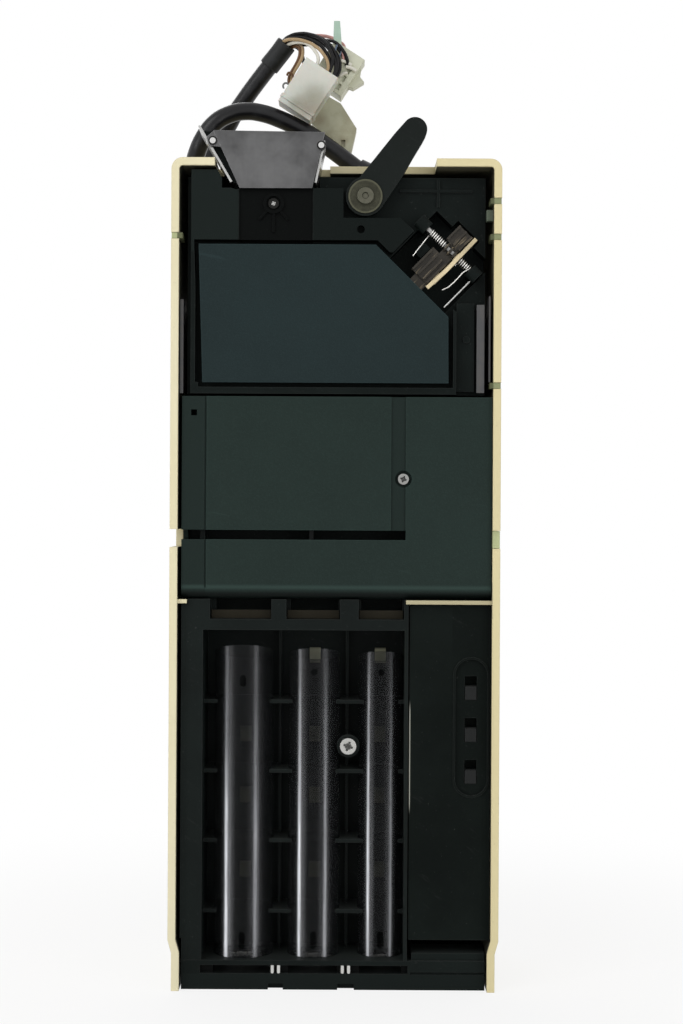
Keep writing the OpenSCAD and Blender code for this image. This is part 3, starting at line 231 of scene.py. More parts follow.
class Nodes:
    """A node tree. Its methods add nodes and give back an output."""

    def __init__(self, tree):
        self.tree = tree
        tree.nodes.clear()

    def put(self, slot, value):
        if isinstance(value, Value):
            self.tree.links.new(value.socket, slot)
        elif slot.type == "RGBA":
            slot.default_value = (*value, 1)
        else:
            slot.default_value = value

    def node(self, kind, settings=None, output=0, places=None, **sockets):
        """Adds any node: its settings first, then its sockets by place or by name."""
        made = self.tree.nodes.new(kind)
        for name, value in (settings or {}).items():
            setattr(made, name, value)
        for place, value in (places or {}).items():
            self.put(made.inputs[place], value)
        for name, value in sockets.items():
            self.put(made.inputs[name.replace("_", " ")], value)
        return Value(self.tree, made.outputs[output])

    def ending(self, kind):
        """Adds the tree's last node and gives back its first input."""
        return self.tree.nodes.new(kind).inputs[0]

    def seen(self):
        """1 where the camera, a reflection or clear plastic looks, 0 for plain lighting."""
        seen, *others = (self.node("ShaderNodeLightPath", output=f"Is {kind} Ray")
                         for kind in ("Camera", "Glossy", "Transmission"))
        for other in others:
            seen = seen.maths("MAXIMUM", seen, other)
        return seen


class Finish(Nodes):
    """One material, from the Principled shader."""

    def __init__(self, name, **constants):
        self.material = bpy.data.materials.new(name)
        self.material.use_nodes = True
        super().__init__(self.material.node_tree)
        self.shader = self.tree.nodes.new("ShaderNodeBsdfPrincipled")
        self.surface = self.ending("ShaderNodeOutputMaterial")
        self.tree.links.new(self.shader.outputs[0], self.surface)
        self.set(**constants)

    def set(self, **sockets):
        """Sets or links the shader's own sockets; Base_Color stands for Base Color."""
        for name, value in sockets.items():
            self.put(self.shader.inputs[name.replace("_", " ")], value)
        return self

    def where(self):
        """Object coordinates."""
        return self.node("ShaderNodeTexCoord", output="Object")

    def place(self, stretch=(1, 1, 1), turn=(0, 0, 0)):
        """Object coordinates, stretched and turned."""
        return self.node("ShaderNodeMapping", {"vector_type": "TEXTURE"}, Vector=self.where(),
                         Scale=tuple(1 / s for s in stretch), Rotation=turn)

    def axis(self, vector, axis):
        """One axis of a vector."""
        return self.node("ShaderNodeSeparateXYZ", output=axis, Vector=vector)

    def vectors(self, operation, *given):
        """Vector maths that gives a number."""
        return self.node("ShaderNodeVectorMath", {"operation": operation}, "Value",
                         dict(enumerate(given)))

    def noise(self, scale, detail=3, rough=0.55, stretch=(1, 1, 1), turn=(0, 0, 0)):
        """Noise from about 0 to 1; scale counts its spots in one metre."""
        return self.node(
            "ShaderNodeTexNoise", Vector=self.place(stretch, turn), Scale=scale,
            Detail=detail, Roughness=rough,
        )

    def cells(self, scale, stretch):
        """Distance to the nearest of a scatter of points."""
        return self.node("ShaderNodeTexVoronoi", Vector=self.place(stretch), Scale=scale)

    def along(self, axis):
        """Where a point lies along an axis of the object, in metres."""
        return self.axis(self.where(), axis)

    def band(self, axis, low, high, soft=0.3):
        """1 between two limits in millimetres along an axis, 0 outside."""
        place = self.along(axis)
        enters = place.over((low - soft) * MM, (low + soft) * MM)
        return enters * (1 - place.over((high - soft) * MM, (high + soft) * MM))

    def box(self, bands, share=1):
        """A share inside all the bands, 0 outside."""
        for band in bands:
            share = self.band(*band) * share
        return share

    def near(self, spot, inner, outer):
        """1 within inner of a spot, 0 past outer; all in millimetres."""
        gap = self.vectors("DISTANCE", self.where(), Vector(spot) * MM)
        return 1 - gap.over(inner * MM, outer * MM)

    def corners(self, reach):
        """1 along the corners that lie within reach of a point, 0 on flat stretches."""
        rounded = self.node("ShaderNodeBevel", {"samples": 4}, Radius=reach)
        flat = self.node("ShaderNodeNewGeometry", output="True Normal")
        return (1 - self.vectors("DOT_PRODUCT", rounded, flat)).over(0.03, 0.3)

    def facing(self, axis):
        """How far the surface looks along an axis, from -1 to 1."""
        return self.axis(self.node("ShaderNodeNewGeometry", output="Normal"), axis)

    def mix(self, amount, first, second):
        """A colour from first to second."""
        return self.node("ShaderNodeMix", {"data_type": "RGBA"}, 2,
                         {0: amount, 6: first, 7: second})

    def relief(self, height, depth, edge=0.0):
        """Raises the surface by a height map; edge rounds the corners it shows."""
        sockets = {"Height": height, "Distance": depth}
        if edge:
            sockets["Normal"] = self.node("ShaderNodeBevel", {"samples": 6}, Radius=edge)
        return self.set(Normal=self.node("ShaderNodeBump", **sockets))


# ------------------------------------------------------------------ finishes

# What ages the plain colours, and the colours of painted shade, highlights and reflections
STREAKED = (0.36, 0.33, 0.24)
SPECKLED = (0.20, 0.18, 0.13)
UNLIT = (0.012, 0.014, 0.013)
# Settled dust, and also the pale colour of the painted highlight along dark mouldings' corners
DUST_AND_EDGE_LIGHT = (0.30, 0.31, 0.30)
LINT = (0.3, 0.3, 0.3)
SCUFFED = (0.5, 0.5, 0.5)
TARNISH = (0.2, 0.18, 0.15)
# Painted shade round the glints and in the recesses of bright steel
PAINTED_SHADE = (0.02, 0.02, 0.019)
# The pale colour of the painted reflections on the tubes
PAINTED_REFLECTION = (0.93, 0.95, 1.0)
# The pale colour of the painted highlights along the hinge carrier's ribs
RIB_HIGHLIGHT = (0.38, 0.31, 0.20)
JACKET_DUST = (0.10, 0.11, 0.12)
SKIN_SMUDGE = (0.08, 0.07, 0.06)
BOARD_COLOURS = ((0.02, 0.10, 0.045), (0.05, 0.19, 0.08))
COPPER_COLOURS = ((0.30, 0.10, 0.03), (0.62, 0.28, 0.11))


def mixed(first, second, share):
    """A colour between two, worked out in Python."""
    return tuple(a + (b - a) * share for a, b in zip(first, second))


def scaled(colour, factor):
    """A lighter or darker shade of a colour."""
    return tuple(min(1, c * factor) for c in colour)


def cream_moulding(name, colour, yellowed, grime):
    """The housing's old cream plastic: yellower to the right, grey where it is handled, and painted
    shade all over its inside.
    """
    f = Finish(name, IOR=1.47, Specular_IOR_Level=0.25)
    patches = f.noise(9, 4, 0.6).over(0.35, 0.7)
    specks = f.noise(420, 2, 0.6).over(0.68, 0.8)
    streaks = f.noise(60, 3, 0.6, (1, 1, 0.12)).over(0.55, 0.8)
    aged = f.mix(f.along("X").over(-0.06, 0.07), colour, yellowed)
    tone_and_painted_light = f.mix(patches * 0.35, aged, yellowed)
    tone_and_painted_light = f.mix(streaks * (0.16 * grime), tone_and_painted_light, STREAKED)
    tone_and_painted_light = f.mix(specks * (0.3 * grime), tone_and_painted_light, SPECKLED)
    # Darker on the shelf's right part
    tone_and_painted_light = f.mix(f.box(SHELF) * 0.5, tone_and_painted_light, scaled(colour, 0.35))
    # Painted shade: every face inside the housing is painted near black
    tone_and_painted_light = f.mix(f.box(INSIDE) * 0.97, tone_and_painted_light, UNLIT)
    f.set(Base_Color=tone_and_painted_light, Roughness=0.42 + patches * 0.12 + streaks * 0.1)
    return f.relief(f.noise(1500, 2), 0.00004, 0.0005).material


def moulded(name, colour, dust, grain=1600, rough=0.45, edge=0.0003, gloss=0.09,
            zones=()):
    """A dark moulding: fine grain, settled dust, faint rubbed patches and a painted highlight along
    its corners.

    Each zone is a shade factor and bands along axes, such as (0.4, ("X", -43, -10)).
    """
    f = Finish(name, IOR=1.46, Specular_IOR_Level=gloss)
    patches = f.noise(24, 4, 0.6).over(0.35, 0.75)
    lint = f.noise(700, 2, 0.7).over(0.66, 0.78)
    scuffs = f.noise(90, 5, 0.65, (1, 1, 5), (0, 0.6, 0)).over(0.60, 0.78)
    shade = f.mix(patches * 0.7, colour, scaled(colour, 1.8))
    shade = f.mix(f.facing("Z").over(0.2, 0.9) * (0.06 * dust), shade, DUST_AND_EDGE_LIGHT)
    shade = f.mix(lint * (0.12 * dust), shade, DUST_AND_EDGE_LIGHT)
    # Painted highlight: the corners are painted paler, as strong as the dust
    shade = f.mix(f.corners(0.0006) * (0.10 * dust), shade, DUST_AND_EDGE_LIGHT)
    shade = f.mix(scuffs * (0.08 * dust), shade, mixed(colour, SCUFFED, 0.3))
    shade = zoned(f, shade, colour, zones)
    f.set(Base_Color=shade, Roughness=rough + patches * 0.14 - scuffs * 0.08)
    return f.relief(f.noise(grain, 2), 0.00005, edge).material


def zoned(f, shade, colour, zones):
    """Repaints a finish where its zones say: in a colour, or at a factor of the plain one."""
    for factor, *bands in zones:
        tone = factor if isinstance(factor, tuple) else scaled(colour, factor)
        shade = f.mix(f.box(bands, 0.85), shade, tone)
    return shade


def slate_texture(name, colour, zones=()):
    """The gate's and the cover's fine spark-eroded texture, rubbed lighter in patches, with a
    painted highlight along its edges.
    """
    f = Finish(name, IOR=1.46, Specular_IOR_Level=0.12)
    patches = f.noise(16, 5, 0.6).over(0.3, 0.75)
    pits = f.noise(1300, 3, 0.7)
    scratch = f.noise(160, 2, 0.5, (0.16, 1, 1.6), (0, 0.25, 0)).over(0.69, 0.76)
    shade = f.mix(patches * 0.6, colour, scaled(colour, 1.35))
    shade = f.mix(pits.over(0.45, 0.7) * 0.35, shade, scaled(colour, 1.7))
    shade = f.mix(scratch * 0.25, shade, scaled(colour, 2.4))
    # Painted highlight: the edges are painted much lighter
    shade = f.mix(f.corners(0.0007) * 0.35, shade, scaled(colour, 5))
    shade = zoned(f, shade, colour, zones)
    f.set(Base_Color=shade, Roughness=0.46 + patches * 0.1 - scratch * 0.1)
    return f.relief(pits, 0.00008, 0.0004).material


def rolled_sheet(name, colour):
    """The funnel's grey sheet steel: cloudy, with faint rolling lines, small stains and a painted
    highlight along its edges.
    """
    f = Finish(name, Metallic=1.0)
    clouds = f.noise(38, 4, 0.6).over(0.3, 0.75)
    lines = f.noise(900, 2, 0.5, (1, 1, 0.05))
    stains = f.noise(160, 4, 0.7).over(0.62, 0.8)
    shade = f.mix(clouds * 0.9, scaled(colour, 0.6), scaled(colour, 1.9))
    shade = f.mix(stains * 0.35, shade, scaled(colour, 0.5))
    # Painted highlight: the edges are painted much lighter
    shade = f.mix(f.corners(0.0005) * 0.5, shade, scaled(colour, 4))
    f.set(Base_Color=shade, Roughness=0.38 + clouds * 0.12 + lines * 0.1)
    return f.relief(lines, 0.00002, 0.0002).material


def bright_plate(name, colour, rough=0.2, spots=(), cores=()):
    """Bright plated steel with tarnish; painted shade round its spots, which show as painted
    glints, inside its cores and in its hollows.

    Each spot and each core is a place and a radius in millimetres.
    """
    f = Finish(name, Metallic=1.0)
    haze = f.noise(260, 4, 0.6).over(0.4, 0.8)
    shade = f.mix(haze * 0.5, colour, mixed(colour, TARNISH, 0.5))
    # Painted glint: the steel is painted dark except within its spots
    if spots:
        painted_glint = 0
        for spot, radius in spots:
            painted_glint = f.near(spot, radius * 0.92, radius * 1.08) + painted_glint
        shade = f.mix(painted_glint, PAINTED_SHADE, shade)
    # Painted shade inside the cores, such as a screw's recess
    for spot, radius in cores:
        shade = f.mix(f.near(spot, radius * 0.8, radius * 1.2) * 0.85, shade, PAINTED_SHADE)
    # Painted shade in the hollows
    hollow_shade = f.node("ShaderNodeAmbientOcclusion", {"samples": 6}, output="AO", Distance=0.0012)
    shade = f.mix(hollow_shade.over(0.35, 0.9), scaled(colour, 0.08), shade)
    f.set(Base_Color=shade, Roughness=rough + haze * 0.2)
    return f.relief(f.noise(2200, 2), 0.00001, 0.00015).material


def olive_disc(name, colour):
    """The lever's washer: dull olive plating with rings from turning, and a painted highlight round
    its rim.
    """
    f = Finish(name, Metallic=0.3, Specular_IOR_Level=0.2)
    x, z = (v * MM for v in LEVER_PIVOT)
    across, up = f.along("X") - x, f.along("Z") - z
    reach = (across * across + up * up) ** 0.5
    turning = reach * 9000
    rings = turning.maths("SINE", turning)
    blotch = f.noise(300, 4, 0.7).over(0.35, 0.75)
    # Painted highlight: the outer rim is painted lighter
    rim_highlight = reach.over(0.0066, 0.0069) * 0.7
    f.set(Base_Color=f.mix(rim_highlight, f.mix(blotch, colour, scaled(colour, 1.7)), scaled(colour, 3.2)),
          Roughness=0.42 + blotch * 0.15)
    return f.relief(rings * 0.5 + blotch, 0.00003, 0.0002).material


def smoky_tube(name, colour):
    """Smoky clear plastic, glossy, with rubbed rings where coins pass, a little dust and painted
    reflections streaked down its front.
    """
    f = Finish(name, IOR=1.49, Specular_IOR_Level=0.2)
    bands = f.noise(50, 3, 0.6, (0.15, 0.15, 1)).over(0.4, 0.75)
    lint = f.noise(800, 2, 0.6).over(0.70, 0.8)
    rubbed = f.noise(240, 4, 0.6, (1, 1, 0.06)).over(0.58, 0.8)
    # Painted reflections: pale streaks down the front of each tube, fading towards the top
    tone_and_painted_light = 0
    for middle, radius in TUBES:
        for place, half, power in STREAKS:
            at = middle + place * radius
            tone_and_painted_light = f.band("X", at - half * radius, at + half * radius, half * radius) * power + tone_and_painted_light
    tone_and_painted_light = tone_and_painted_light * (1 - f.along("Z").over(0.015, 0.165) * 0.82)
    tone_and_painted_light = tone_and_painted_light * (0.55 + f.noise(330, 4, 0.7, (1, 1, 0.05)).over(0.35, 0.6) * 0.45)
    tone_and_painted_light = tone_and_painted_light * (1 - f.facing("Y").over(-0.4, -0.1))
    shade = f.mix(rubbed * 0.3, colour, scaled(colour, 2.5))
    shade = f.mix(lint * 0.25, shade, LINT)
    shade = f.mix(tone_and_painted_light, shade, PAINTED_REFLECTION)
    f.set(Base_Color=shade, Roughness=0.24 + bands * 0.06 + rubbed * 0.08,
          Alpha=0.32 + bands * 0.1 + lint * 0.2 + tone_and_painted_light * 0.5)
    return f.relief(f.noise(500, 2, 0.5, (1, 1, 0.2)), 0.00001).material


def brown_ribs(name, colour):
    """The hinge carrier's dark brown plastic, with painted highlights along its ribs."""
    f = Finish(name, IOR=1.47, Specular_IOR_Level=0.3)
    turn = (0, math.pi / 2 + HINGE_SLOPE, 0)
    # Painted highlight: pale streaks along the ribs
    rib_light = f.noise(750, 3, 0.6, (0.10, 1, 1), turn).over(0.56, 0.72)
    patches = f.noise(120, 4, 0.6).over(0.35, 0.7)
    shade = f.mix(patches * 0.6, colour, scaled(colour, 2))
    shade = f.mix(rib_light * 0.65, shade, RIB_HIGHLIGHT)
    f.set(Base_Color=shade, Roughness=0.34 + patches * 0.1 - rib_light * 0.08)
    return f.relief(f.noise(900, 2), 0.00004, 0.0002).material


def cable_jacket(name, colour, rough=0.42):
    """Black cable jacket with fine marks along it."""
    f = Finish(name, IOR=1.5, Specular_IOR_Level=0.3)
    marks = f.noise(420, 3, 0.6)
    dust = f.noise(70, 4, 0.65).over(0.45, 0.8)
    f.set(Base_Color=f.mix(dust * 0.4, colour, mixed(colour, JACKET_DUST, 0.4)),
          Roughness=rough + dust * 0.16)
    return f.relief(marks, 0.00005).material


def wire_skin(name, colour):
    """The thin insulation of one wire."""
    f = Finish(name, IOR=1.5, Specular_IOR_Level=0.16)
    smudge = f.noise(500, 3, 0.6).over(0.45, 0.8)
    f.set(Base_Color=f.mix(smudge * 0.4, colour, mixed(colour, SKIN_SMUDGE, 0.5)),
          Roughness=0.36 + smudge * 0.2)
    return f.relief(smudge, 0.00002).material


def plug_plastic(name, colour, stain, clear=0.0, marks=(), tip=None):
    """A connector's natural nylon: cloudy, stained and smeared.

    Each mark is a place, a reach and a colour.
    """
    f = Finish(name, IOR=1.52, Subsurface_Weight=clear, Subsurface_Scale=0.004,
               Specular_IOR_Level=0.3)
    cloud = f.noise(90, 4, 0.6).over(0.3, 0.75)
    dirt = f.noise(190, 5, 0.7).over(0.52, 0.8)
    shade = f.mix(cloud * 0.5, colour, mixed(colour, stain, 0.3))
    shade = f.mix(dirt * 0.25, shade, stain)
    ragged = 0.6 + f.noise(260, 4, 0.7) * 0.6
    for spot, reach, tone in marks:
        shade = f.mix(f.near(spot, 0, reach) * ragged * 0.62, shade, tone)
    smear = f.noise(70, 5, 0.6).over(0.40, 0.62) * (1 - f.along("Z").over(0.398, 0.408))
    shade = f.mix(smear * 0.55, shade, mixed(colour, stain, 0.9))
    if tip:
        shade = f.mix(f.along("Z").over(0.428, 0.433) * 0.7, shade, tip)
    f.set(Base_Color=shade, Roughness=0.38 + cloud * 0.14)
    return f.relief(cloud + f.noise(1400, 2) * 0.4, 0.00006, 0.0004).material


def circuit_board(name):
    """Green board with its copper tracks showing under the lacquer."""
    f = Finish(name, IOR=1.5)
    tracks = f.cells(260, (1, 1, 0.35)).over(0.28, 0.34)
    f.set(Base_Color=f.mix(tracks, *BOARD_COLOURS),
          Roughness=0.3 + tracks * 0.15)
    return f.relief(tracks, 0.00003, 0.0002).material


def copper_winding(name):
    """Lacquered copper wire, layer on layer."""
    f = Finish(name, Metallic=0.85)
    strands = f.noise(3200, 1, 0.4, (1, 0.2, 1))
    f.set(Base_Color=f.mix(strands, *COPPER_COLOURS),
          Roughness=0.32 + strands * 0.15)
    return f.relief(strands, 0.0001, 0.0002).material


# ------------------------------------------------------------------ making pieces


def coat(data, material):
    data.materials.clear()
    data.materials.append(material)


def finish_nodes(material, *names):
    """Gives CAD nodes a material."""
    for name in names:
        coat(NODES[name].data, material)


def into_scene(name, data):
    made = bpy.data.objects.new(name, data)
    bpy.context.scene.collection.objects.link(made)
    return made


def enrol(piece, material, slot, *stands_for):
    """Finishes a piece and says what it belongs to and which CAD nodes it stands for."""
    coat(piece.data, material)
    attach(piece, FIXED)
    if stands_for:
        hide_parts(*stands_for)
    return piece


def curve_along(name, points, radius, bevel, smooth=True):
    """A round curve through points in millimetres, with more sides the higher its bevel."""
    data = bpy.data.curves.new(name, "CURVE")
    data.dimensions = "3D"
    data.bevel_depth = radius
    data.bevel_resolution = bevel
    data.use_fill_caps = True
    data.resolution_u = data.render_resolution_u = 8
    spline = data.splines.new("BEZIER" if smooth else "POLY")
    if smooth:
        spline.bezier_points.add(len(points) - 1)
        for knot, point in zip(spline.bezier_points, points):
            knot.co = Vector(point) * MM
            knot.handle_left_type = knot.handle_right_type = "AUTO"
    else:
        spline.points.add(len(points) - 1)
        for knot, point in zip(spline.points, points):
            knot.co = (*(Vector(point) * MM), 1)
    return into_scene(name, data)


def plain_mesh(made, name):
    """The evaluated mesh of an object, which is then removed."""
    graph = bpy.context.evaluated_depsgraph_get()
    mesh = bpy.data.meshes.new_from_object(made.evaluated_get(graph), depsgraph=graph)
    mesh.name = name
    mesh.transform(made.matrix_world)
    bpy.data.objects.remove(made)
    return mesh


def smooth_faces(mesh):
    mesh.polygons.foreach_set("use_smooth", [True] * len(mesh.polygons))
    mesh.update()


def bent_wire(name, points, radius, material, slot, *stands_for, smooth=True):
    """A piece of wire through points in millimetres, as a mesh."""
    mesh = plain_mesh(curve_along(name, points, radius, 3, smooth), name)
    smooth_faces(mesh)
    return enrol(into_scene(name, mesh), material, slot, *stands_for)


def route_length(points):
    """The length along points given in millimetres, in metres."""
    steps = zip(points[:-1], points[1:])
    return sum((Vector(b) - Vector(a)).length for a, b in steps) * MM


def on_hinge(along, depth, away):
    """A place in millimetres, from one along the pin, in depth and away from the gate."""
    c, s = math.cos(HINGE_SLOPE), math.sin(HINGE_SLOPE)
    return (HINGE[0] + along * c + away * s, HINGE[1] + depth, HINGE[2] - along * s + away * c)


# ------------------------------------------------------------------ settings


def colour_setting(label, covers, default):
    return bpy.props.FloatVectorProperty(
        name=label, description=f"Colour of {covers}", subtype="COLOR", size=3, min=0, max=1,
        default=default)


def length_setting(label, description, default, low, high):
    return bpy.props.FloatProperty(
        name=label, description=description, unit="LENGTH", default=default, min=low, max=high)


class ChangerColours(bpy.types.PropertyGroup):
    """The colours that a user would change"""

    cream: colour_setting("Housing", "the housing", (0.79, 0.73, 0.51))
    yellowed: colour_setting("Yellowed", "the housing where it has aged", (0.72, 0.635, 0.375))
    black: colour_setting("Mouldings", "the black mouldings", (0.0055, 0.0078, 0.0072))
    slate: colour_setting("Gate", "the gate", (0.0115, 0.0205, 0.0215))
    cover: colour_setting("Cover", "the middle cover", (0.0128, 0.0225, 0.0195))
    tube: colour_setting("Tubes", "the smoky tubes", (0.012, 0.013, 0.0135))
    steel: colour_setting("Sheet steel", "the funnel's steel", (0.085, 0.085, 0.086))


class ChangerSizes(bpy.types.PropertyGroup):
    """The sizes that a user would change"""

    cable: length_setting("Cable", "Diameter of the cable jacket", 0.0082, 0.006, 0.0086)
    wire: length_setting("Wire", "Diameter of one wire", 0.0016, 0.0012, 0.0017)
    spring_wire: length_setting(
        "Spring wire", "Diameter of the hinge springs' wire", 0.0006, 0.0004, 0.0007)


class ChangerStage(bpy.types.PropertyGroup):
    """Camera, light and wear"""

    distance: length_setting("Distance", "Camera to the front of the housing", 0.8, 0.5, 2)
    view_height: length_setting("View height", "Height of the camera", 0.2106, 0, 1)
    frame_height: length_setting(
        "Frame height", "Height that the picture shows at the front", 0.4493, 0.3, 1)
    roll: bpy.props.FloatProperty(
        name="Roll", description="How far the camera leans to the left", subtype="ANGLE",
        default=math.radians(0.305), min=-0.1, max=0.1)
    wear: bpy.props.FloatProperty(
        name="Wear", description="How much dust and grime there is", subtype="FACTOR",
        default=0.6, min=0, max=1)


def colours():
    return bpy.context.scene.changer_colours


def sizes():
    return bpy.context.scene.changer_sizes


def staging():
    return bpy.context.scene.changer_stage


# ------------------------------------------------------------------ operators


class CHANGER_OT_stage(bpy.types.Operator):
    """Make the camera, the lights, the floor and the white surroundings"""

    bl_idname = "changer.stage"
    bl_label = "Stage"

    def execute(self, context):
        scene = context.scene
        stage = staging()
        lens = bpy.data.cameras.new("camera")
        lens.sensor_fit = "AUTO"
        lens.sensor_width = SENSOR
        lens.lens = SENSOR * stage.distance / stage.frame_height
        camera = into_scene("camera", lens)
        camera.location = (CAMERA_X, HOUSING_FRONT - stage.distance, stage.view_height)
        camera.rotation_euler = (math.pi / 2, -stage.roll, 0)
        scene.camera = camera
        scene.view_settings.view_transform = "Standard"
        for name, width, height, power, place, aim in LAMPS:
            lamp = bpy.data.lights.new(name, "AREA")
            lamp.shape = "RECTANGLE"
            lamp.size = width
            lamp.size_y = height
            lamp.energy = power
            made = into_scene(name, lamp)
            made.location = place
            made.rotation_euler = (Vector(aim) - Vector(place)).to_track_quat("-Z", "Y").to_euler()
        self.surround(scene)
        self.floor()
        return {"FINISHED"}

    def surround(self, scene):
        """White all round, dimmer where it only lights the part"""
        scene.world = bpy.data.worlds.new("studio")
        scene.world.use_nodes = True
        world = Nodes(scene.world.node_tree)
        strength = SURROUND_LIGHT + world.seen() * (1 - SURROUND_LIGHT)
        back = world.node("ShaderNodeBackground", Color=(1, 1, 1), Strength=strength)
        world.put(world.ending("ShaderNodeOutputWorld"), back)

    def floor(self):
        """A floor that takes the part's shadow and fades into the white"""
        mesh = bpy.data.meshes.new("floor")
        shape = bmesh.new()
        bmesh.ops.create_grid(shape, x_segments=2, y_segments=2, size=FLOOR_SIZE)
        shape.to_mesh(mesh)
        shape.free()
        f = Finish("floor", Roughness=0.9, Specular_IOR_Level=0.1)
        f.set(Base_Color=f.mix(f.noise(3) * 0.2, *FLOOR_SHADES))
        far = f.vectors("LENGTH", f.where()).over(*FLOOR_FADE)
        f.put(f.surface, f.node("ShaderNodeMixShader", places={
            0: f.seen() * (FLOOR_GLOW + far * (1 - FLOOR_GLOW)),
            1: Value(f.tree, f.shader.outputs[0]),
            2: f.node("ShaderNodeEmission", Strength=1),
        }))
        mesh.materials.append(f.material)
        into_scene("floor", mesh)


class CHANGER_OT_harness(bpy.types.Operator):
    """Make the cable, its sleeve and the loose wires, and finish the connectors"""

    bl_idname = "changer.harness"
    bl_label = "Cable harness"

    def execute(self, context):
        jacket = cable_jacket("cable_jacket", (0.0045, 0.0045, 0.0055), 0.3)
        cable = enrol(curve_along("cable", CABLE_ROUTE, sizes().cable / 2, 6), jacket,
                      "cable_jacket", "harness_cable")
        sleeve = self.sleeve()
        skins = {name: wire_skin(f"wire_{name}", colour) for name, colour in WIRE_COLOURS.items()}
        olive, brown = (0.20, 0.19, 0.13), (0.21, 0.16, 0.10)
        finish_nodes(plug_plastic("nylon_white", (0.66, 0.67, 0.61), (0.36, 0.34, 0.26), 0.2, (
            ((-10.9, -1.3, 401.4), 10, olive), ((-6.0, -1.3, 393.4), 9, brown),
            ((-14.5, -1.3, 396), 9, brown), ((-19.5, -1.3, 398.6), 6, olive))), "connector_white")
        finish_nodes(plug_plastic("nylon_tan", (0.46, 0.46, 0.34), (0.26, 0.23, 0.14), 0, (
            ((2.7, 11.8, 383.9), 3.2, brown), ((-8.4, 11.8, 393.8), 6, brown))), "connector_tan")
        finish_nodes(plug_plastic("nylon_beige", (0.62, 0.63, 0.50), (0.34, 0.31, 0.20),
                                  tip=(0.30, 0.50, 0.42)), "connector_beige")
        finish_nodes(jacket, "cable_gland")
        for number, (skin, plug, route) in enumerate((*WIRES, *self.extra_wires()), 1):
            stands_for = ("harness_wires",) if number == 1 else ()
            wire = enrol(curve_along(f"wire_{number}", route, sizes().wire / 2, 3), skins[skin],
                         "cable_jacket", *stands_for)
            route_length(route)
        for name, skin, radius, points in STUBS:
            bent_wire(name, points, radius * MM, skins[skin], "cable_jacket")
        route_length(CABLE_ROUTE)
        return {"FINISHED"}

    def extra_wires(self):
        """Wires beside the first ones, whose middles bow out furthest"""
        made = []
        for index, skin, shift in EXTRA_WIRES:
            _, plug, route = WIRES[index]
            last = len(route) - 1
            bows = (1 - BOW + BOW * math.sin(math.pi * i / last) for i in range(last + 1))
            made.append((skin, plug, tuple(
                tuple(Vector(point) + Vector(shift) * bow) for point, bow in zip(route, bows))))
        return made

    def sleeve(self):
        """The shrink sleeve at the cable's end: wrinkled, and open where the wires come out"""
        start, end = Vector(CABLE_ROUTE[-1]) * MM, Vector(SLEEVE_END) * MM
        way = end - start
        turn = way.to_track_quat("Z", "Y").to_matrix()
        shape = bmesh.new()
        loops = []
        for share, radius in SLEEVE_RINGS:
            loop = []
            for k in range(SLEEVE_SIDES):
                angle = math.tau * k / SLEEVE_SIDES
                broad = 0.05 * math.sin(3 * angle + 9 * share)
                fine = 0.04 * math.sin(7 * angle - 14 * share)
                reach = (radius + broad + fine) * MM
                spot = turn @ Vector((reach * math.cos(angle), reach * math.sin(angle), 0))
                loop.append(shape.verts.new(start + way * share + spot))
            loops.append(loop)
        for a, b in zip(loops[:-1], loops[1:]):
            for k in range(SLEEVE_SIDES):
                n = (k + 1) % SLEEVE_SIDES
                shape.faces.new((a[k], a[n], b[n], b[k]))
        shape.faces.new(list(reversed(loops[0])))
        shape.faces.new(loops[-1])
        bmesh.ops.recalc_face_normals(shape, faces=shape.faces)
        mesh = bpy.data.meshes.new("shrink_sleeve")
        shape.to_mesh(mesh)
        shape.free()
        smooth_faces(mesh)
        skin = cable_jacket("sleeve_skin", (0.006, 0.007, 0.007), 0.5)
        return enrol(into_scene("shrink_sleeve", mesh), skin, "cable_jacket", "cable_sleeve")


class CHANGER_OT_springs(bpy.types.Operator):
    """Wind the hinge springs and the lever's spring"""

    bl_idname = "changer.springs"
    bl_label = "Springs"

    def execute(self, context):
        bright = bright_plate("spring_steel", (0.72, 0.71, 0.68), 0.22)
        for node, name, start, turns, first, last in COILS:
            line = self.coil(turns, COIL_RADIUS, COIL_PITCH, first, last)
            points = [on_hinge(start + x, y, z) for x, y, z in line]
            bent_wire(name, points, sizes().spring_wire / 2, bright, "bright_steel", node,
                      smooth=False)
        points = [(LEVER_PIVOT[0] - y, LEVER_COIL_FRONT + x, LEVER_PIVOT[1] + z)
                  for x, y, z in self.coil(*LEVER_COIL)]
        bent_wire("spring_lever", points, LEVER_WIRE_RADIUS * MM, bright, "steel", "lever_spring",
                  smooth=False)
        return {"FINISHED"}

    def coil(self, turns, radius, pitch, first, last, steps=28):
        """Points of a coil along X whose ends run on as legs"""
        line = [(drift, radius, -reach) for drift, reach in reversed(first)]
        for i in range(int(turns * steps) + 1):
            angle = math.tau * i / steps
            line.append((pitch * i / steps, radius * math.cos(angle), radius * math.sin(angle)))
        angle = math.tau * turns
        c, s = math.cos(angle), math.sin(angle)
        line += [(pitch * turns + drift, radius * c - reach * s, radius * s + reach * c)
                 for drift, reach in last]
        return line


class CHANGER_OT_housing(bpy.types.Operator):
    """Finish the housing and its clips"""

    bl_idname = "changer.housing"
    bl_label = "Housing"

    def execute(self, context):
        wear = staging().wear
        finish_nodes(cream_moulding("cream_moulding", colours().cream,
                                    colours().yellowed, wear), "rear_housing")
        # The clips are darker at the upper right, with painted shade on their ends inside the
        # housing
        finish_nodes(moulded("clip_plastic", (0.37, 0.40, 0.22), 0.3 * wear, 900, 0.4, zones=(
            (0.62, ("Z", 250, 365), ("X", 0, 75)), (0.2, ("X", -70, 69.2)),
        )), "retaining_clips")
        return {"FINISHED"}


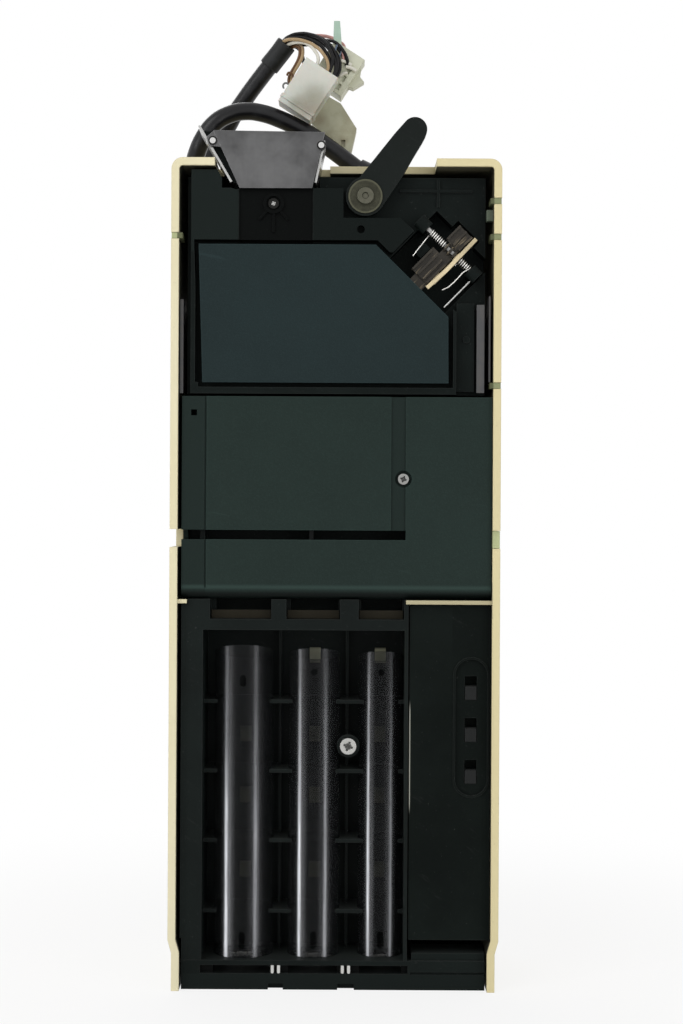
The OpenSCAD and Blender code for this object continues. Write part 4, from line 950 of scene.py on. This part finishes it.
class CHANGER_OT_acceptor(bpy.types.Operator):
    """Finish the acceptor, its gate, hinge and funnel"""

    bl_idname = "changer.acceptor"
    bl_label = "Acceptor"

    def execute(self, context):
        wear = staging().wear
        # Painted shade on the deck's middle over the coin inlet; its front faces left and right of
        # it lighter
        black = moulded("acceptor_moulding", colours().black, wear, gloss=0.06, zones=(
            (0.1, ("X", -43, -10.5), ("Z", 329, 353)),
            (1.9, ("X", -64, -43.4), ("Z", 325, 361), ("Y", -38.5, -37.5)),
            (1.1, ("X", -10.1, 32), ("Z", 325, 361), ("Y", -38.5, -37.5)),
        ))
        finish_nodes(black, "acceptor_body", "funnel_body")
        finish_nodes(slate_texture("gate_texture", colours().slate), "acceptor_gate")
        finish_nodes(brown_ribs("brown_moulding", (0.024, 0.0205, 0.0155)), "gate_arm")
        finish_nodes(rolled_sheet("rolled_sheet", colours().steel), "funnel_plate")
        finish_nodes(bright_plate("bright_edge", (0.50, 0.50, 0.49), 0.24), "funnel_cheeks")
        # The rivets and the deck screw: a small painted glint with painted shade round it
        finish_nodes(bright_plate("rivet_steel", (0.66, 0.66, 0.65), 0.24, (
            ((-54.6, -39.9, 373.4), 1.3), ((-6.9, -39.9, 371.6), 1.3))), "funnel_rivets")
        finish_nodes(bright_plate("deck_steel", (0.62, 0.62, 0.60), 0.24, (
            ((-27.8, -37.9, 346.2), 0.9),)), "deck_screw")
        finish_nodes(bright_plate("pin_steel", (0.42, 0.42, 0.41), 0.3), "hinge_pin")
        finish_nodes(bright_plate("dark_strip", (0.085, 0.086, 0.088), 0.42), "side_rails")
        finish_nodes(moulded("wall_clip_skin", (0.10, 0.12, 0.09), wear), "wall_clip")
        finish_nodes(moulded("pale_bar", (0.50, 0.42, 0.27), 0.4 * wear, 700, 0.35, 0.0002),
                     "lift_arm")
        finish_nodes(copper_winding("copper_winding"), "sensor_coils")
        return {"FINISHED"}


class CHANGER_OT_lever(bpy.types.Operator):
    """Finish the return lever, its washer and its screw"""

    bl_idname = "changer.lever"
    bl_label = "Return lever"

    def execute(self, context):
        finish_nodes(moulded("lever_moulding", (0.0085, 0.011, 0.01), 0.7 * staging().wear, 1200,
                             0.36, 0.0006, gloss=0.1), "return_lever")
        finish_nodes(olive_disc("olive_disc", (0.032, 0.032, 0.021)), "lever_washer")
        finish_nodes(bright_plate("pivot_steel", (0.10, 0.10, 0.075), 0.3), "lever_screw")
        return {"FINISHED"}


class CHANGER_OT_cover(bpy.types.Operator):
    """Finish the middle cover and the sorter behind it"""

    bl_idname = "changer.cover"
    bl_label = "Middle cover"

    def execute(self, context):
        wear = staging().wear
        # The cover darker on its left strip; painted shade on the narrow upright band right of its
        # middle and on its rolled lower edge, and a painted highlight along the top of that roll
        finish_nodes(slate_texture("cover_texture", colours().cover, (
            (0.8, ("X", -70, -57)), (0.8, ("X", 24.5, 31), ("Z", 202.5, 262)),
            (0.08, ("Z", 160, 175.4, 1.2)), (2.2, ("Z", 176.6, 178.2, 0.7)),
        )), "middle_cover")
        # Painted shade in the screw's recess
        finish_nodes(bright_plate("cover_steel", (0.34, 0.34, 0.33), 0.24, cores=(
            ((30, -37, 225.2), 1.0),)), "cover_screw", "flap_pins")
        finish_nodes(moulded("sorter_moulding", colours().black, wear), "sorter_deck")
        finish_nodes(moulded("flap_moulding", (0.012, 0.013, 0.013), 0.4 * wear),
                     "accept_flap", "sorter_flap")
        finish_nodes(copper_winding("accept_winding"), "accept_solenoid")
        return {"FINISHED"}


class CHANGER_OT_cassette(bpy.types.Operator):
    """Finish the cassette, its tubes and sensors"""

    bl_idname = "changer.cassette"
    bl_label = "Cassette"

    def execute(self, context):
        wear = staging().wear
        finish_nodes(moulded("cassette_moulding", colours().black, 1.1 * wear),
                     "cassette_frame")
        finish_nodes(smoky_tube("smoky_tube", colours().tube),
                     "coin_tube_left", "coin_tube_middle", "coin_tube_right")
        finish_nodes(moulded("sensor_patch", (0.30, 0.30, 0.21), 0.5 * wear, zones=(
            (0.55, ("Z", 148, 170)),)), "tube_sensors")
        finish_nodes(moulded("lip_moulding", (0.016, 0.014, 0.009), 0.6 * wear), "chute_lips")
        # Painted shade in the screw's recess
        finish_nodes(bright_plate("cassette_steel", (0.50, 0.50, 0.48), 0.24, cores=(
            ((6.3, -31, 106.6), 1.5),)), "cassette_screw")
        return {"FINISHED"}


class CHANGER_OT_buttons(bpy.types.Operator):
    """Finish the button panel, its buttons and switches"""

    bl_idname = "changer.buttons"
    bl_label = "Buttons"

    def execute(self, context):
        wear = staging().wear
        # A painted highlight along the panel's left edge, and a lighter patch high on the panel
        finish_nodes(moulded("panel_moulding", (0.0052, 0.0072, 0.0064), wear, gloss=0.035, zones=(
            ((0.50, 0.50, 0.43), ("X", 33, 33.65, 0.1), ("Z", 80, 125, 3)),
            (1.5, ("X", 34, 52), ("Z", 150, 170, 12)))), "button_panel")
        finish_nodes(moulded("button_moulding", (0.016, 0.017, 0.017), 0.6 * wear, 1200, 0.36),
                     "button_top", "button_middle", "button_low")
        finish_nodes(moulded("switch_board", (0.008, 0.014, 0.010), 0.2), "button_board")
        return {"FINISHED"}


class CHANGER_OT_payout(bpy.types.Operator):
    """Finish the payout base, its pins, pushers and solenoids"""

    bl_idname = "changer.payout"
    bl_label = "Payout"

    def execute(self, context):
        # Painted shade in the payout slot; the base's lowest stretch lighter
        zones = ((0.05, ("Z", 7.1, 10.7, 0.1), ("X", -58.6, 33), ("Y", -36.2, 10)),
                 (1.4, ("Z", -1, 6.9)))
        finish_nodes(moulded("base_moulding", colours().black, staging().wear, gloss=0.07,
                             zones=zones), "payout_base")
        finish_nodes(bright_plate("payout_steel", (0.60, 0.60, 0.58), 0.24),
                     "payout_pins", "pusher_left", "pusher_middle", "pusher_right")
        finish_nodes(copper_winding("solenoid_winding"),
                     "solenoid_left", "solenoid_middle", "solenoid_right")
        return {"FINISHED"}


class CHANGER_OT_inside(bpy.types.Operator):
    """Finish the control board and what is on it"""

    bl_idname = "changer.inside"
    bl_label = "Inside"

    def execute(self, context):
        finish_nodes(circuit_board("control_board"), "main_board")
        finish_nodes(moulded("component_case", (0.02, 0.02, 0.02), 0.2, 900, 0.5), "board_parts")
        steel = bright_plate("board_steel", (0.6, 0.6, 0.58))
        finish_nodes(steel, "board_screws")
        enrol(into_scene("chip_legs", self.legs(steel)), steel, "steel")
        return {"FINISHED"}

    def legs(self, material):
        """The chips' legs: a mesh of one edge for each row, which the node tree fills with legs"""
        rows = bpy.data.meshes.new("chip_rows")
        spots, edges = [], []
        for left, low, width, height in CHIPS:
            ends = (low + CHIP_END, low + height - CHIP_END)
            for x, (first, last) in ((left + width, ends), (left, ends[::-1])):
                edges.append((len(spots), len(spots) + 1))
                spots += [Vector((x, BOARD_FRONT, z)) * MM for z in (first, last)]
        rows.from_pydata(spots, edges, [])
        carrier = into_scene("chip_rows", rows)
        modifier = carrier.modifiers.new("legs", "NODES")
        modifier.node_group, sockets = self.leg_tree(material)
        for name, size in LEGS.items():
            modifier[sockets[name]] = size * MM
        mesh = plain_mesh(carrier, "chip_legs")
        mesh.update()
        return mesh

    def leg_tree(self, material):
        """Legs at every pitch along each edge: out of the chip and down to the board"""
        group = bpy.data.node_groups.new("chip_legs", "GeometryNodeTree")
        face = group.interface
        face.new_socket("Geometry", in_out="INPUT", socket_type="NodeSocketGeometry")
        face.new_socket("Geometry", in_out="OUTPUT", socket_type="NodeSocketGeometry")
        sockets = {
            name: face.new_socket(name, in_out="INPUT", socket_type="NodeSocketFloat").identifier
            for name in LEGS}
        tree = Nodes(group)
        rows, pitch, width, reach, drop = (
            tree.node("NodeGroupInput", output=name) for name in ("Geometry", *LEGS))
        curve = tree.node("GeometryNodeMeshToCurve", Mesh=rows)
        points = tree.node("GeometryNodeResampleCurve", {"mode": "LENGTH"}, Curve=curve,
                           Length=pitch)
        parts = group.nodes.new("GeometryNodeJoinGeometry")
        thin = LEG_SHEET * MM
        for size, middle in (
            ((reach, thin, width), (reach * 0.5, -LEGS["Drop"] * MM, 0)),
            ((thin, drop, width), (reach, drop * -0.5, 0)),
        ):
            size, middle = (
                tree.node("ShaderNodeCombineXYZ", X=x, Y=y, Z=z) for x, y, z in (size, middle))
            box = tree.node("GeometryNodeMeshCube", Size=size)
            tree.put(parts.inputs[0],
                     tree.node("GeometryNodeTransform", Geometry=box, Translation=middle))
        turned = tree.node("FunctionNodeAlignRotationToVector", {"axis": "Z", "pivot_axis": "Y"},
                           Vector=tree.node("GeometryNodeInputTangent"))
        placed = tree.node("GeometryNodeInstanceOnPoints", Points=points,
                           Instance=Value(group, parts.outputs[0]), Rotation=turned)
        real = tree.node("GeometryNodeRealizeInstances", Geometry=placed)
        done = tree.node("GeometryNodeSetMaterial", Geometry=real, Material=material)
        tree.put(tree.ending("NodeGroupOutput"), done)
        return group, sockets


class CHANGER_PT_panel(bpy.types.Panel):
    """Lists the sizes and the steps"""

    bl_idname = "CHANGER_PT_panel"
    bl_label = "Coin changer"
    bl_space_type = "VIEW_3D"
    bl_region_type = "UI"
    bl_category = "Changer"

    def draw(self, context):
        for group in (sizes(), colours(), staging()):
            box = self.layout.box()
            for name in group.bl_rna.properties.keys():
                if name not in ("rna_type", "name"):
                    box.prop(group, name)
        for step in STEPS:
            self.layout.operator(step.bl_idname)


STEPS = (
    CHANGER_OT_stage,
    CHANGER_OT_harness,
    CHANGER_OT_springs,
    CHANGER_OT_housing,
    CHANGER_OT_acceptor,
    CHANGER_OT_lever,
    CHANGER_OT_cover,
    CHANGER_OT_cassette,
    CHANGER_OT_buttons,
    CHANGER_OT_payout,
    CHANGER_OT_inside,
)
CLASSES = (ChangerColours, ChangerSizes, ChangerStage, *STEPS, CHANGER_PT_panel)


def register():
    for cls in CLASSES:
        bpy.utils.register_class(cls)
    scene = bpy.types.Scene
    scene.changer_colours = bpy.props.PointerProperty(type=ChangerColours)
    scene.changer_sizes = bpy.props.PointerProperty(type=ChangerSizes)
    scene.changer_stage = bpy.props.PointerProperty(type=ChangerStage)


def unregister():
    for name in ("changer_colours", "changer_sizes", "changer_stage"):
        delattr(bpy.types.Scene, name)
    for cls in reversed(CLASSES):
        bpy.utils.unregister_class(cls)


def main():
    register()
    for step in STEPS:
        area, name = step.bl_idname.split(".")
        getattr(getattr(bpy.ops, area), name)()


if __name__ == "__main__":
    main()
